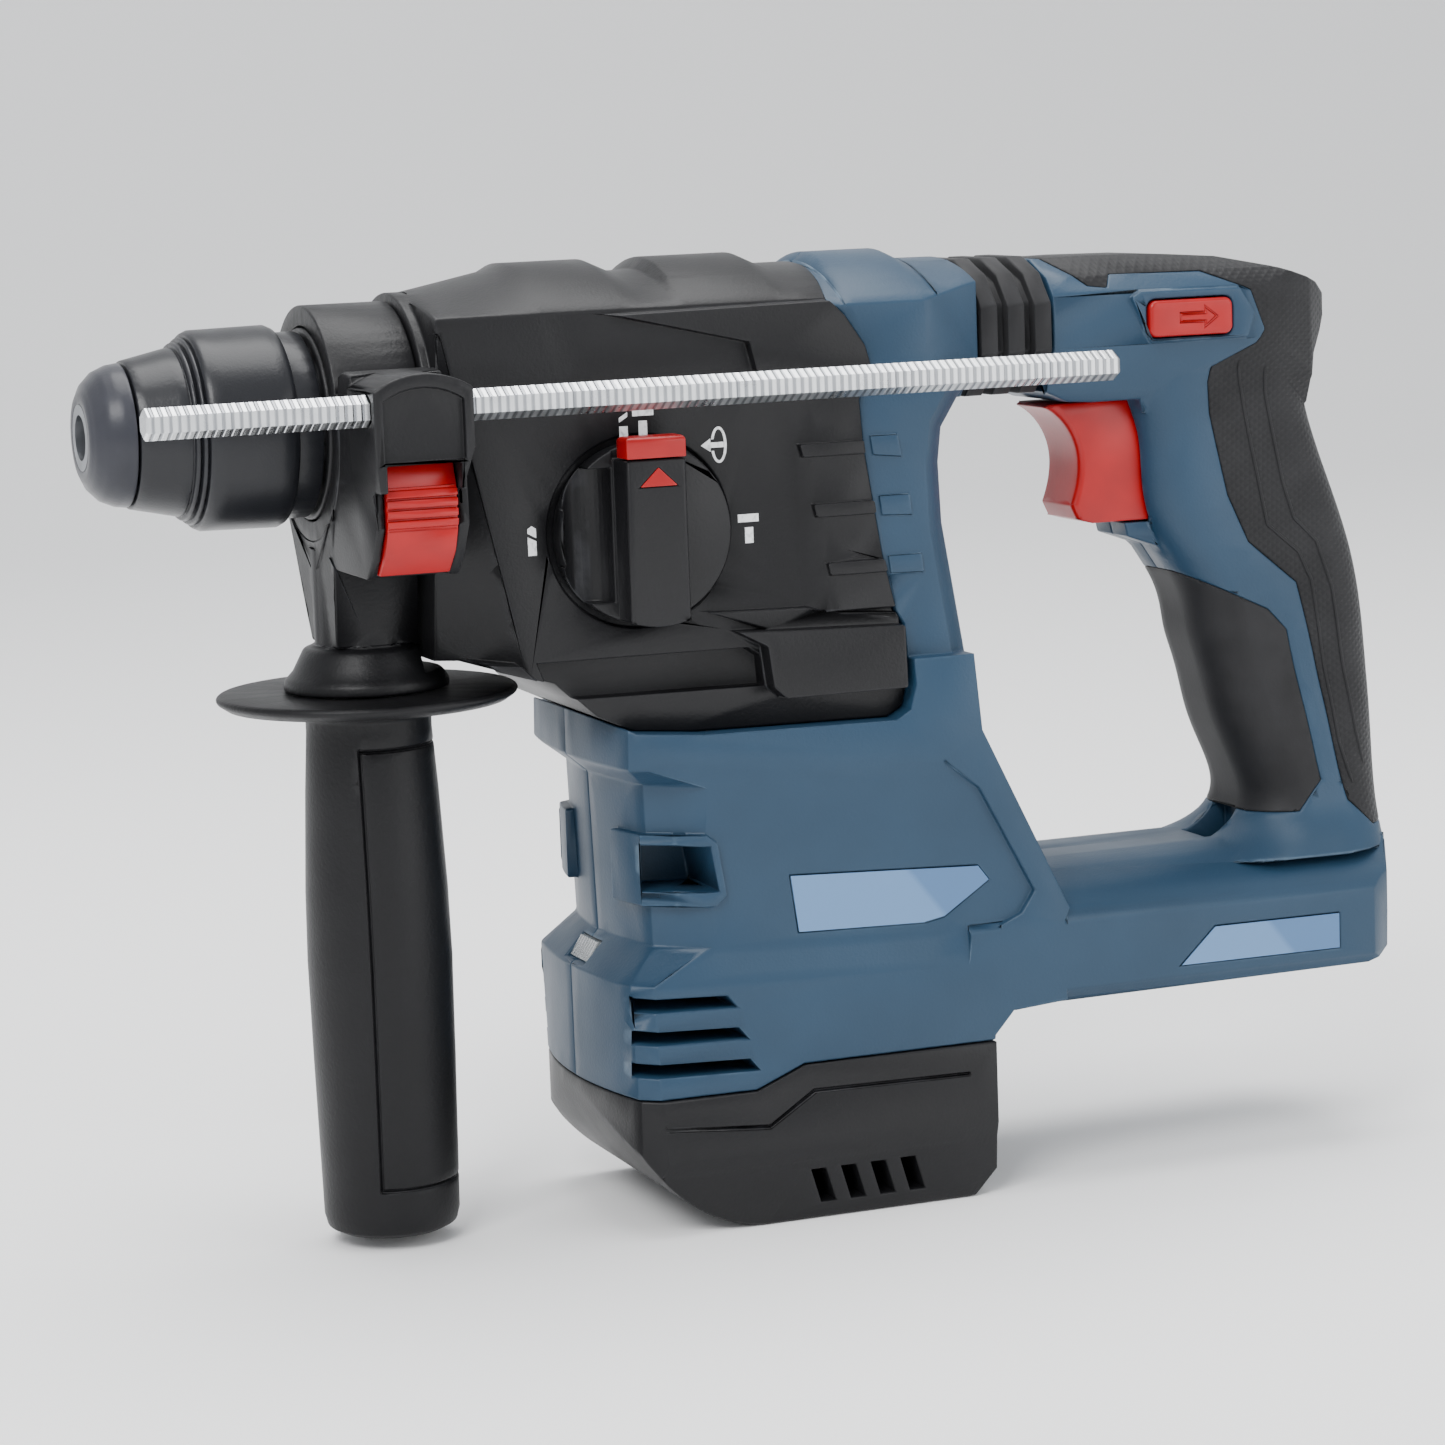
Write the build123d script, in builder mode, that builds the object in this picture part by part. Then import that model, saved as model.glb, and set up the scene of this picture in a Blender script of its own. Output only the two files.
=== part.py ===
"""Cordless rotary hammer with a D-handle, built as separate pieces on one frame.

Units are millimetres.  The origin is the mouth of the tool holder on the spindle axis.
The tool bit points to -X, the handle is at +X and +Z is up.
"""
import os
from math import cos, radians, sin

from build123d import *

os.makedirs("parts", exist_ok=True)

# ---------------------------------------------------------------- driving dimensions
FIT = 0.3                  # visible joint between two shells
RUN = 0.05                 # radial running clearance of a shaft
SCREW_R = 1.95

SOCKET_R = 5.05            # bore for a 10 mm grooved shank
SOCKET_END = 36.0          # blind end of the tool socket
ANVIL_BORE_R = 8.2
CYLINDER_START = 58.0
CYLINDER_BORE_R = 12.1
SPINDLE_END = 112.0
SPINDLE_R = 15.0
NECK_R = 21.5              # clamping neck, 43 mm across
NECK_START = 50.5
NECK_BORE_R = 18.5

CASE_HALF = 30.0           # half width of the gear housing beside the spindle
LOWER_HALF = 35.0          # half width of the flange, motor housing and foot
COLUMN_HALF = 31.0
HEAD_HALF = 22.0
FLOOR_TOP = -51.0          # floor of the gear room

MOTOR_X = 155.0
CRANK_X = 130.0
IDLER_X = 97.0
CRANK_THROW = 7.0
GEAR_TOP = -43.5
GEAR_BOTTOM = -50.0
PINION_TEETH = 8
CRANK_TEETH = 42
IDLER_TEETH = 24

KNOB_X = 118.8
KNOB_Z = -26.5
KNOB_R = 20.3

TRIGGER_HALF = 9.0
BUTTON_X = 261.7
BUTTON_Z = 13.8
BUTTON_LENGTH = 22.0
BUTTON_HEIGHT = 8.6

HANDLE_X = 62.5            # axis of the side handle grip
ROD_Y = -50.0
ROD_Z = 5.5
ROD_FRONT = 2.3
ROD_REAR = 228.3
ROD_FLATS = 6.0
BRACKET_FRONT = 51.5
BRACKET_REAR = 72.4

BOOT_BOTTOM = -188.6
BOOT_SEAM_FRONT = -156.0
BOOT_SEAM_REAR = -151.5
FOOT_BOTTOM = -144.3

BUTTON_BEZEL = [(246.5, 19.0), (249.0, 20.4), (275.0, 20.2), (279.0, 14), (277, 8.4), (251.5, 8.4)]

INLET_FRAME = [(100, -95.2), (130.6, -96.2), (133.2, -98.2), (135.0, -110.4), (132.4, -112.8),
               (100, -111.8)]
COLUMN_BARS = [[(175.1, -8.5), (181.9, -8.5), (182.9, -13.7), (175.7, -12.9)],
               [(176.9, -22.3), (184.5, -22.3), (185.1, -27.2), (177.5, -26.8)],
               [(178.7, -36.2), (187.1, -36.2), (187.6, -40.5), (179.3, -40.3)]]

# seam between the gear housing and the motor housing, from the top edge round to the prow
CASE_SEAM = [(169, 36), (169, 30), (165.7, 22.8), (169.3, 19.3), (174.1, 12.2), (175.4, 7.5),
             (172.4, 0), (173.1, -10.7), (176.9, -35.6), (180.2, -49.3), (182, -52.3),
             (183, -66), (181.5, -71.5), (178, -73.5), (131, -72.8), (115, -71.3),
             (107, -67.5), (99, -60), (78, -53.5)]


# ---------------------------------------------------------------- shape helpers
def side_prism(outline, half_width):
    """Outline in X and Z made solid to half_width on both sides of the centre plane."""
    with BuildPart() as block:
        with BuildSketch(Plane.XZ):
            with BuildLine():
                Polyline(*outline, close=True)
            make_face()
        extrude(amount=half_width, both=True)
    return block.part


def shrink(inset):
    """Move the outline of the sketch in hand inwards."""
    if inset:
        offset(amount=-inset, kind=Kind.INTERSECTION)


def side_layer(outline, near, far, inset=0):
    """Outline in X and Z made solid between two distances along Y."""
    with BuildPart() as layer:
        with BuildSketch(Plane.XZ.offset(-max(near, far))):
            with BuildLine():
                Polyline(*outline, close=True)
            make_face()
            shrink(inset)
        extrude(amount=abs(far - near))
    return layer.part


def both_sides(outline, near, far, inset=0):
    """The same layer on the left and on the right side of the tool."""
    return join(side_layer(outline, -near, -far, inset), side_layer(outline, near, far, inset))


def plan_prism(outline, bottom, top):
    """Outline in X and Y made solid from bottom to top."""
    with BuildPart() as block:
        with BuildSketch(Plane.XY.offset(bottom)):
            with BuildLine():
                Polyline(*outline, close=True)
            make_face()
        extrude(amount=top - bottom)
    return block.part


def section_prism(outline, start, end):
    """Outline in Y and Z made solid along X."""
    with BuildPart() as block:
        with BuildSketch(Plane.YZ.offset(start)):
            with BuildLine():
                Polyline(*outline, close=True)
            make_face()
        extrude(amount=end - start)
    return block.part


def box_between(low, high):
    """Box from its lowest to its highest corner."""
    with BuildPart() as block:
        with Locations([((low[0] + high[0]) / 2, (low[1] + high[1]) / 2, (low[2] + high[2]) / 2)]):
            Box(high[0] - low[0], high[1] - low[1], high[2] - low[2])
    return block.part


def turned(outline, axis=Axis.X, plane=Plane.XZ):
    """Half outline (distance along the axis, radius) turned about the axis."""
    with BuildPart() as body:
        with BuildSketch(plane):
            with BuildLine():
                Polyline(*outline, close=True)
            make_face()
        revolve(axis=axis)
    return body.part


def upright(x, outline):
    """Half outline (radius, height) turned about the vertical line at x."""
    return turned([(x + r, z) for r, z in outline], Axis((x, 0, 0), (0, 0, 1)))


def upright_ring(x, inner, outer, bottom, top):
    """Plain ring or disc about the vertical line at x."""
    return upright(x, [(inner, bottom), (outer, bottom), (outer, top), (inner, top)])


def axial_ring(inner, outer, start, end):
    """Plain ring or disc about the spindle axis."""
    return turned([(start, inner), (start, outer), (end, outer), (end, inner)])


def join(*solids):
    """One part that holds all the given solids, fused."""
    with BuildPart() as whole:
        for solid in solids:
            add(solid)
    return whole.part


def keep(part, name):
    """Label one finished piece and write its file."""
    part.label = name
    export_step(part, f"parts/{name}.step")


# ---------------------------------------------------------------- outer shapes
def barrel_sketch(x, top, shoulder, half, bottom):
    """Arched cross-section of the upper casing on the plane at x."""
    with BuildSketch(Plane.YZ.offset(x)) as section:
        with BuildLine():
            Polyline((half, shoulder), (half, bottom), (-half, bottom), (-half, shoulder))
            ThreePointArc((-half, shoulder), (0, top), (half, shoulder))
        make_face()
    return section.sketch


def barrel(stations, shoulder, half, bottom):
    """Arched casing through (x, top) stations, straight between them."""
    sections = [barrel_sketch(x, top, shoulder, half, bottom) for x, top in stations]
    with BuildPart() as shell:
        loft(sections, ruled=True)
    return shell.part


def seam_zone(gap):
    """Room of the gear housing in side view, grown by the gap to the motor housing."""
    with BuildPart() as zone:
        with BuildSketch(Plane.XZ):
            with BuildLine():
                Polyline(*CASE_SEAM, (40, -53.5), (40, 36), close=True)
            make_face()
            shrink(-gap)
        extrude(amount=45, both=True)
    return zone.part


def plan_level(front, corner_x, corner_y, side_x, side_y, rear, z, slope):
    """Horizontal section of the motor housing on a plane that may fall towards the rear."""
    fall = radians(slope)
    plane = Plane(origin=(0, 0, z + 115 * sin(fall)), x_dir=(cos(fall), 0, -sin(fall)),
                  z_dir=(sin(fall), 0, cos(fall)))
    with BuildSketch(plane) as level:
        with BuildLine():
            Polyline((corner_x, -corner_y), (side_x, -side_y), (rear, -side_y),
                     (rear, side_y), (side_x, side_y), (corner_x, corner_y))
            ThreePointArc((corner_x, corner_y), (front, 0), (corner_x, -corner_y))
        make_face()
    return level.sketch


def motor_envelope():
    """Motor housing from the flange down to the bumper, before it is hollowed."""
    levels = [plan_level(109.5, 113.5, 33.0, 117.0, LOWER_HALF, 226, -60.0, 0),
              plan_level(109.5, 113.0, 33.0, 117.0, LOWER_HALF, 226, -80.2, 2.8),
              plan_level(114.6, 118.6, 26.5, 131.0, 33.2, 226, -84.3, 2.8),
              plan_level(115.6, 119.6, 26.5, 131.0, 33.2, 226, -121.8, 2.2),
              plan_level(108.5, 111.8, 31.0, 116.5, LOWER_HALF, 226, -129.8, 2.2),
              plan_level(108.5, 112.8, 32.0, 117.0, LOWER_HALF, 226, BOOT_SEAM_FRONT - 4, 0)]
    with BuildPart() as body:
        loft(levels, ruled=True)
        add(side_prism([(187, -77), (190, -84.5), (198.5, -91.5), (212, -117), (208.5, -122),
                        (203, -124.5), (200, -132), (226, -132), (226, -77)], LOWER_HALF))
        rear = [(90, -58), (198, -58), (199.8, -78), (221, -122), (219.8, -125), (219.8, -144),
                (206, -145), (201, -150.5), (201, -160), (90, -160)]
        add(side_prism(rear, 50), mode=Mode.INTERSECT)
    return body.part


def inlet_collar():
    """Raised frame that follows the front chamfer round both air inlets."""
    levels = [plan_level(112.9, 116.9, 27.7, 129.6, 34.5, 140, z, 2.8) for z in (-90, -118)]
    with BuildPart() as collar:
        loft(levels, ruled=True)
        add(side_prism(INLET_FRAME, 50), mode=Mode.INTERSECT)
        add(box_between((90, -15.5, -120), (124, 15.5, -80)), mode=Mode.SUBTRACT)
        add(box_between((124, -31, -120), (150, 31, -80)), mode=Mode.SUBTRACT)
    return collar.part


def column_envelope():
    """Column behind the gear housing with its raised top block."""
    top_plan = [(150, 40), (190, 40), (190, COLUMN_HALF), (206, 24.3), (206, -24.3),
                (190, -COLUMN_HALF), (190, -40), (150, -40)]
    with BuildPart() as body:
        add(barrel([(160, 30.6), (206, 30.2)], 21.5, COLUMN_HALF, 4))
        add(barrel([(170, 30.7), (172.5, 32.9), (189.5, 32.9), (194, 30.5)], 21.6, COLUMN_HALF, 4))
        add(plan_prism(top_plan, 0, 40), mode=Mode.INTERSECT)
    with BuildPart() as leg:
        add(side_prism([(160, 6), (206, 6), (200, -1), (195.5, -8), (194.5, -16), (195, -30),
                        (200, -61), (203, -80), (160, -80)], COLUMN_HALF))
        back = leg.edges().filter_by(lambda e: e.center().X > 191 and abs(e.center().Y) > 30.9)
        chamfer(back, 5.5)
    return join(body.part, leg.part)


def bridge_outline(inset):
    """Cross-section of the arm between the column and the handle head."""
    side = 24.0 - inset
    top = 29.6 - inset
    low = -2.3 + inset
    half = [(14 - inset / 2, low), (side, 8), (side, 19), (18 - inset / 2, 26 - inset * 0.7),
            (9, top)]
    return half + [(-y, z) for y, z in reversed(half)]


def head_envelope(inset):
    """Head of the D-handle with the direction button, rounded at its rear nose."""
    profile = [(226.5, 28.7), (240, 28.9), (257, 28.6), (274, 27.4), (288, 24.2), (300.5, 20.2),
               (304.0, 17.6), (305, 13.2), (302.5, 8.0), (299, 3.0), (297.8, -3), (298.3, -9),
               (254, -9), (252, -5.5), (240, -5.5), (233, -5), (226.5, -2.3)]
    half = [(13, -9), (17, -2), (22, 8), (22, 20.5), (18.5, 24.5), (9, 29)]
    section = half + [(-y, z) for y, z in reversed(half)]
    plan = [(224, 24), (280, 23), (297, 17.5), (304, 11), (306, 4)]
    with BuildPart() as head:
        with BuildSketch(Plane.XZ):
            with BuildLine():
                Polyline(*profile, close=True)
            make_face()
            shrink(inset)
        extrude(amount=30, both=True)
        with BuildSketch(Plane.YZ.offset(215)):
            with BuildLine():
                Polyline(*section, close=True)
            make_face()
            shrink(inset)
        extrude(amount=110, mode=Mode.INTERSECT)
        with BuildSketch(Plane.XY.offset(-20)):
            with BuildLine():
                Polyline(*(plan + [(x, -y) for x, y in reversed(plan)]), close=True)
            make_face()
            shrink(inset)
        extrude(amount=60, mode=Mode.INTERSECT)
    return head.part


def grip_envelope(inset):
    """Rear grip from the head down to the foot, flared into the foot."""
    stations = [(2, 251.0, 298.6, 18.5), (-12, 252.5, 301.0, 17.0), (-28, 254.0, 306.6, 16.3),
                (-39, 257.5, 310.6, 16.0), (-50, 264.5, 313.6, 16.0), (-64, 268.5, 315.6, 16.2),
                (-80, 273.0, 316.8, 16.6), (-96, 279.0, 317.5, 17.4), (-106, 281.0, 317.8, 19.0),
                (-112, 277.0, 317.8, 22.5), (-118, 262.0, 317.5, 28.0)]
    with BuildPart() as grip:
        for z, front, rear, half in stations:
            with BuildSketch(Plane(origin=((front + rear) / 2, 0, z))):
                RectangleRounded(rear - front - 2 * inset, 2 * (half - inset), (half - inset) * 0.72)
        loft()
    return grip.part


def foot_envelope():
    """Foot that carries the battery rails, sloping up into the grip."""
    half = [(32.5, FOOT_BOTTOM), (LOWER_HALF, -141.5), (LOWER_HALF, -125.5), (33.5, -123.8),
            (27, -120), (18, -115.6), (10, -114.3)]
    plan = [(190, 36), (301, 36), (308.5, 30.5), (314, 20), (316.3, 8)]
    side = [(190, -112), (320, -112), (320, -132.4), (308.5, -132.8), (308.5, -141.0),
            (302, FOOT_BOTTOM), (190, FOOT_BOTTOM)]
    with BuildPart() as foot:
        add(section_prism(half + [(-y, z) for y, z in reversed(half)], 195, 320))
        add(plan_prism(plan + [(x, -y) for x, y in reversed(plan)], -150, -110), mode=Mode.INTERSECT)
        add(side_prism(side, 40), mode=Mode.INTERSECT)
    return foot.part


def housing_envelope():
    """Whole outer shape of the motor housing and D-handle."""
    with BuildPart() as body:
        add(column_envelope())
        add(motor_envelope())
        add(section_prism(bridge_outline(0), 192, 206))
        add(section_prism(bridge_outline(5), 205, 228))
        add(head_envelope(0))
        add(grip_envelope(0))
        add(side_prism([(250.5, -34.8), (251.5, -38.8), (259, -41.5), (266, -47), (272, -30)], 8.5))
        add(foot_envelope())
        add(both_sides(BUTTON_BEZEL, HEAD_HALF - 0.5, HEAD_HALF + 1.4))
        add(inlet_collar())
        for bar in COLUMN_BARS:
            add(both_sides(bar, COLUMN_HALF - 0.5, COLUMN_HALF + 0.6))
    return body.part


# ---------------------------------------------------------------- casings
REAR_PAD_ZONE = [(226, 40), (226.5, 31), (236.5, 22.2), (241.2, 21.6), (243, 24.6), (266.8, 24.3),
                 (278.6, 19.5), (282.3, 9.8), (280.2, 6.7), (269.6, 1.5), (268.9, -2.2),
                 (269.6, -9.7), (274.6, -29.7), (280.2, -41.5), (293, -52.2), (297.3, -69.6),
                 (301.3, -90.3), (304.6, -106.4), (311, -112.8), (330, -113), (330, 40)]
FINGER_PAD_ZONE = [(240, -46.8), (262, -47.2), (285, -58.2), (290, -63.5), (298, -101), (291, -108),
                   (281, -108.2), (272, -105.8), (240, -106)]
PAD_DEPTH = 2.2


def grip_and_head(inset):
    """Head and grip together, shrunk by inset."""
    return join(head_envelope(inset), grip_envelope(inset))


def make_rear_grip_pad():
    """Soft skin over the top of the head and the back of the grip."""
    with BuildPart() as pad:
        add(grip_and_head(0))
        add(side_prism(REAR_PAD_ZONE, 40), mode=Mode.INTERSECT)
        add(grip_and_head(PAD_DEPTH), mode=Mode.SUBTRACT)
    return pad.part


def make_finger_grip_pad():
    """Soft skin round the front of the lower grip."""
    with BuildPart() as pad:
        add(grip_envelope(0))
        add(side_prism(FINGER_PAD_ZONE, 40), mode=Mode.INTERSECT)
        add(grip_envelope(PAD_DEPTH), mode=Mode.SUBTRACT)
    return pad.part


LABEL_PLATE = [(151, -107.6), (198.4, -109.9), (201.2, -113.6), (189.5, -121.2), (184, -122.2),
               (152.7, -121.2)]
LABEL_FACE = 33.2
FOOT_PLATE = [(249.5, -139.2), (259, -130.4), (292.8, -130.6), (292.8, -139.4)]
LENS_WEDGE = [(110.6, -128.4), (113.4, -124.0), (119, -124.0), (119, -128.4)]
LENS_HALF = 6.0
CASE_SCREWS = [(137.5, 13.3), (137.5, -13.3), (172.5, 13.3), (172.5, -13.3)]
SLOT_HEIGHTS = (-134.2, -141.8, -149.4)
MOTOR_SCREWS = [(180.6, 14, 31), (193.8, -56, 31), (121.5, -140, 35), (192, -140, 35),
                (221, -133, 35), (309, -126.5, 28), (237, 14, 22)]


def screw_path(x, z, half_width):
    """Clearance for one housing screw, with its head pocket on the right side."""
    with BuildPart() as path:
        with Locations(Plane(origin=(x, half_width - 8, z), z_dir=(0, 1, 0))):
            Cylinder(SCREW_R + RUN, half_width + 5, align=(Align.CENTER, Align.CENTER, Align.MAX))
            Cylinder(3.7, 30, align=(Align.CENTER, Align.CENTER, Align.MIN))
    return path.part


def make_housing():
    """Both halves of the motor housing and handle as one hollow body, before it is split."""
    grip_core = grip_envelope(5.5)
    skins = [make_rear_grip_pad(), make_finger_grip_pad()]
    with BuildPart() as body:
        add(housing_envelope())
        # gear housing, bumper and skins take their own room
        add(seam_zone(FIT), mode=Mode.SUBTRACT)
        boot_zone = [(90, -156.0), (140.5, -156.3), (144, -154.9), (152.5, BOOT_SEAM_REAR),
                     (215, BOOT_SEAM_REAR), (215, -200), (90, -200)]
        add(side_prism(boot_zone, 50), mode=Mode.SUBTRACT)
        for skin in skins:
            add(skin, mode=Mode.SUBTRACT)
        # motor bay, wire duct, handle and battery rooms
        add(upright_ring(MOTOR_X, 0, 26.6, -160, -78), mode=Mode.SUBTRACT)
        add(upright_ring(MOTOR_X, 0, 12, -79, -60), mode=Mode.SUBTRACT)
        add(box_between((184.5, -7, -82), (190, 7, 18)), mode=Mode.SUBTRACT)
        add(box_between((170, -7, -82), (190, 7, -76)), mode=Mode.SUBTRACT)
        add(box_between((184.5, -7, 6), (250, 7, 18)), mode=Mode.SUBTRACT)
        add(box_between((246, -7, 6.3), (283, 7, 10)), mode=Mode.SUBTRACT)
        add(box_between((246, -16, 7.5), (279, 16, 20)), mode=Mode.SUBTRACT)
        add(box_between((257, -9.6, -36), (294, 9.6, 8)), mode=Mode.SUBTRACT)
        add(grip_core & box_between((258, -20, -110), (310, 20, -34)), mode=Mode.SUBTRACT)
        add(box_between((228, -18, -131), (304, 18, -120)), mode=Mode.SUBTRACT)
        add(box_between((232, -28, -140.2), (322, 28, -133.5)), mode=Mode.SUBTRACT)
        add(box_between((232, -22.5, -150), (322, 22.5, -140)), mode=Mode.SUBTRACT)
        add(box_between((272, -6, -134), (284, 6, -108)), mode=Mode.SUBTRACT)
        # trigger gap, button opening and lens seat
        add(box_between((228, -TRIGGER_HALF - FIT, -35.4), (262, TRIGGER_HALF + FIT, -5.2)),
            mode=Mode.SUBTRACT)
        with BuildSketch(Plane.XZ.offset(-40)):
            with Locations((BUTTON_X, BUTTON_Z)):
                RectangleRounded(BUTTON_LENGTH + 0.8, BUTTON_HEIGHT + 0.8, 2.4)
        extrude(amount=80, mode=Mode.SUBTRACT)
        add(side_prism([(105, -128.7), (105, -123.7), (121.6, -123.7), (121.6, -128.7)],
                       LENS_HALF + FIT), mode=Mode.SUBTRACT)
        # air inlets and outlets
        add(both_sides([(117, -98.2), (131.5, -98.9), (133.2, -109.5), (117, -108.8)], 15, 45),
            mode=Mode.SUBTRACT)
        for index, z in enumerate(SLOT_HEIGHTS):
            rear = 134 + 2.5 * index
            add(both_sides([(112, z + 1.8), (rear, z + 0.6), (rear + 2.5, z - 2.4), (112, z - 1.4)],
                           17, 45), mode=Mode.SUBTRACT)
        # blank plates sit in shallow recesses
        add(both_sides(LABEL_PLATE, LABEL_FACE - 0.6, 45), mode=Mode.SUBTRACT)
        add(both_sides(FOOT_PLATE, LOWER_HALF - 0.6, 45), mode=Mode.SUBTRACT)
        for x, z, half_width in MOTOR_SCREWS:
            add(screw_path(x, z, half_width), mode=Mode.SUBTRACT)
        with Locations(*[(x, y, -79) for x, y in CASE_SCREWS]):
            Cylinder(SCREW_R + RUN, 12, align=(Align.CENTER, Align.CENTER, Align.MIN),
                     mode=Mode.SUBTRACT)
    return body.part


def make_housing_half(body, side):
    """Left (-1) or right (+1) half of the housing, parted at the centre plane."""
    low = (60, -60, -210) if side < 0 else (60, 0, -210)
    high = (340, 0, 60) if side < 0 else (340, 60, 60)
    with BuildPart() as half:
        add(body)
        add(box_between(low, high), mode=Mode.INTERSECT)
    return half.part


GEAR_STATIONS = [(73.2, 27), (76, 28.2), (95.5, 32.2), (98, 33.7), (117, 33.7), (123, 30.8),
                 (129.5, 30.8), (132, 33.6), (153.3, 33.6), (159, 30.8), (190, 30.8)]
BROW = [(113.6, 22.1), (145.8, 14.5), (147.4, 7.8), (175.4, 7.5), (174.1, 12.2), (169.3, 19.3),
        (165.7, 22.8)]
PROW = [(80.6, -53.3), (88.5, -54.2), (97, -63.2), (148, -64), (151, -64.4), (181.3, -65.8),
        (183, -66), (181.5, -71.5), (178, -73.5), (131, -72.8), (115, -71.3), (107, -67.5),
        (99, -60.6), (84, -55.6)]
BLOCK = [(140, -50.6), (149.6, -50.9), (181, -52), (181.3, -66.5), (151, -66.5), (148.2, -63.9),
         (147, -54.4)]
RAMP_RIBS = [[(157, -9.3), (180, -9.3), (180, -12.2), (157.8, -12.2)],
             [(160, -23.1), (180, -23.1), (180, -26), (160.6, -26)],
             [(163, -36.7), (182, -36.7), (182, -39.5), (163.6, -39.5)]]


def front_corner_cut(side):
    """Wedge that slims the lower front corner of the gear housing."""
    with BuildPart() as wedge:
        for z, rear, inner in ((20, 74.5, 29.5), (-60, 92, 17)):
            with BuildSketch(Plane.XY.offset(z)):
                with BuildLine():
                    Polyline((70, side * 36), (rear, side * 36), (rear, side * 30),
                             (73, side * inner), (70, side * inner), close=True)
                make_face()
        loft(ruled=True)
    return wedge.part


def rear_ramp(side):
    """Raised rear part of the gear housing side, with a slanted front edge."""
    with BuildPart() as ramp:
        for z, start in ((8, 149.6), (-48, 158.1)):
            with BuildSketch(Plane.XY.offset(z)):
                with BuildLine():
                    Polyline((start, side * 29.5), (start, side * 30), (start + 8.5, side * 32.5),
                             (190, side * 32.5), (190, side * 29.5), close=True)
                make_face()
        loft(ruled=True)
    return ramp.part


def make_gear_housing():
    """Dark gear housing with the clamping neck, hollow for the impact and gear trains."""
    narrow_nose = [(71, -17), (80.6, -LOWER_HALF), (190, -LOWER_HALF), (190, LOWER_HALF),
                   (80.6, LOWER_HALF), (71, 17)]
    with BuildPart() as body:
        add(barrel(GEAR_STATIONS, 23.2, CASE_HALF, -75))
        for side in (-1, 1):
            add(front_corner_cut(side), mode=Mode.SUBTRACT)
        add(both_sides(BROW, 29, 33))
        for side in (-1, 1):
            add(rear_ramp(side))
        for rib in RAMP_RIBS:
            add(both_sides(rib, 31, 33.3))
        with BuildPart(mode=Mode.PRIVATE) as skirt:
            add(side_prism(PROW, LOWER_HALF))
            add(side_prism(BLOCK, LOWER_HALF))
            add(plan_prism(narrow_nose, -80, -45), mode=Mode.INTERSECT)
        add(skirt.part)
        add(both_sides([(134.3, -45.9), (157.9, -46.5), (166.5, -48.2), (181, -49.3), (181, -52),
                        (149, -51.2)], 28, 31.5))
        add(seam_zone(0), mode=Mode.INTERSECT)
        # side pockets, knob recess
        add(both_sides([(93.5, -54.5), (144, -54.8), (147.3, -57), (147.8, -63.8), (97, -63.2)],
                       25, 40), mode=Mode.SUBTRACT)
        with Locations(Plane(origin=(KNOB_X, -28.5, KNOB_Z), z_dir=(0, -1, 0))):
            Cylinder(21.8, 6, align=(Align.CENTER, Align.CENTER, Align.MIN), mode=Mode.SUBTRACT)
        with Locations(Plane(origin=(KNOB_X, -22, KNOB_Z), z_dir=(0, -1, 0))):
            Cylinder(5.05, 12, align=(Align.CENTER, Align.CENTER, Align.MIN), mode=Mode.SUBTRACT)
        # collar and neck
        add(axial_ring(10, 28.3, 71, 75))
        add(axial_ring(10, NECK_R, NECK_START, 75))
        add(turned([(NECK_START - 1, 0), (NECK_START - 1, NECK_BORE_R), (66, NECK_BORE_R),
                    (66, 16), (80.5, 16), (80.5, 24.5), (104, 24.5), (104, 20.5), (112.5, 20.5),
                    (112.5, 0)]), mode=Mode.SUBTRACT)
        # rooms for the idler, the crank and the gears
        add(box_between((82, -14, -44), (104, 14, -10)), mode=Mode.SUBTRACT)
        add(box_between((82, -10, -44), (105.6, 10, -19)), mode=Mode.SUBTRACT)
        add(box_between((112, -25.5, -42), (166, 25.5, 20)), mode=Mode.SUBTRACT)
        for x, radius in ((IDLER_X, 13.8), (CRANK_X, 22.8), (MOTOR_X, 8)):
            add(upright_ring(x, 0, radius, FLOOR_TOP, -41.8), mode=Mode.SUBTRACT)
        # bearing seats in the floor
        add(upright(CRANK_X, [(0, -62), (11, -62), (11, -55), (6, -55), (6, -50), (0, -50)]),
            mode=Mode.SUBTRACT)
        add(upright(IDLER_X, [(0, -56), (7, -56), (7, -51.5), (5, -51.5), (5, -50), (0, -50)]),
            mode=Mode.SUBTRACT)
        add(upright(MOTOR_X, [(0, -80), (9.05, -80), (9.05, -66), (7, -66), (7, -50), (0, -50)]),
            mode=Mode.SUBTRACT)
        with Locations(*[(x, y, -60) for x, y in CASE_SCREWS]):
            Cylinder(SCREW_R + RUN, 30, align=(Align.CENTER, Align.CENTER, Align.MAX),
                     mode=Mode.SUBTRACT)
    return body.part


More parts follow.
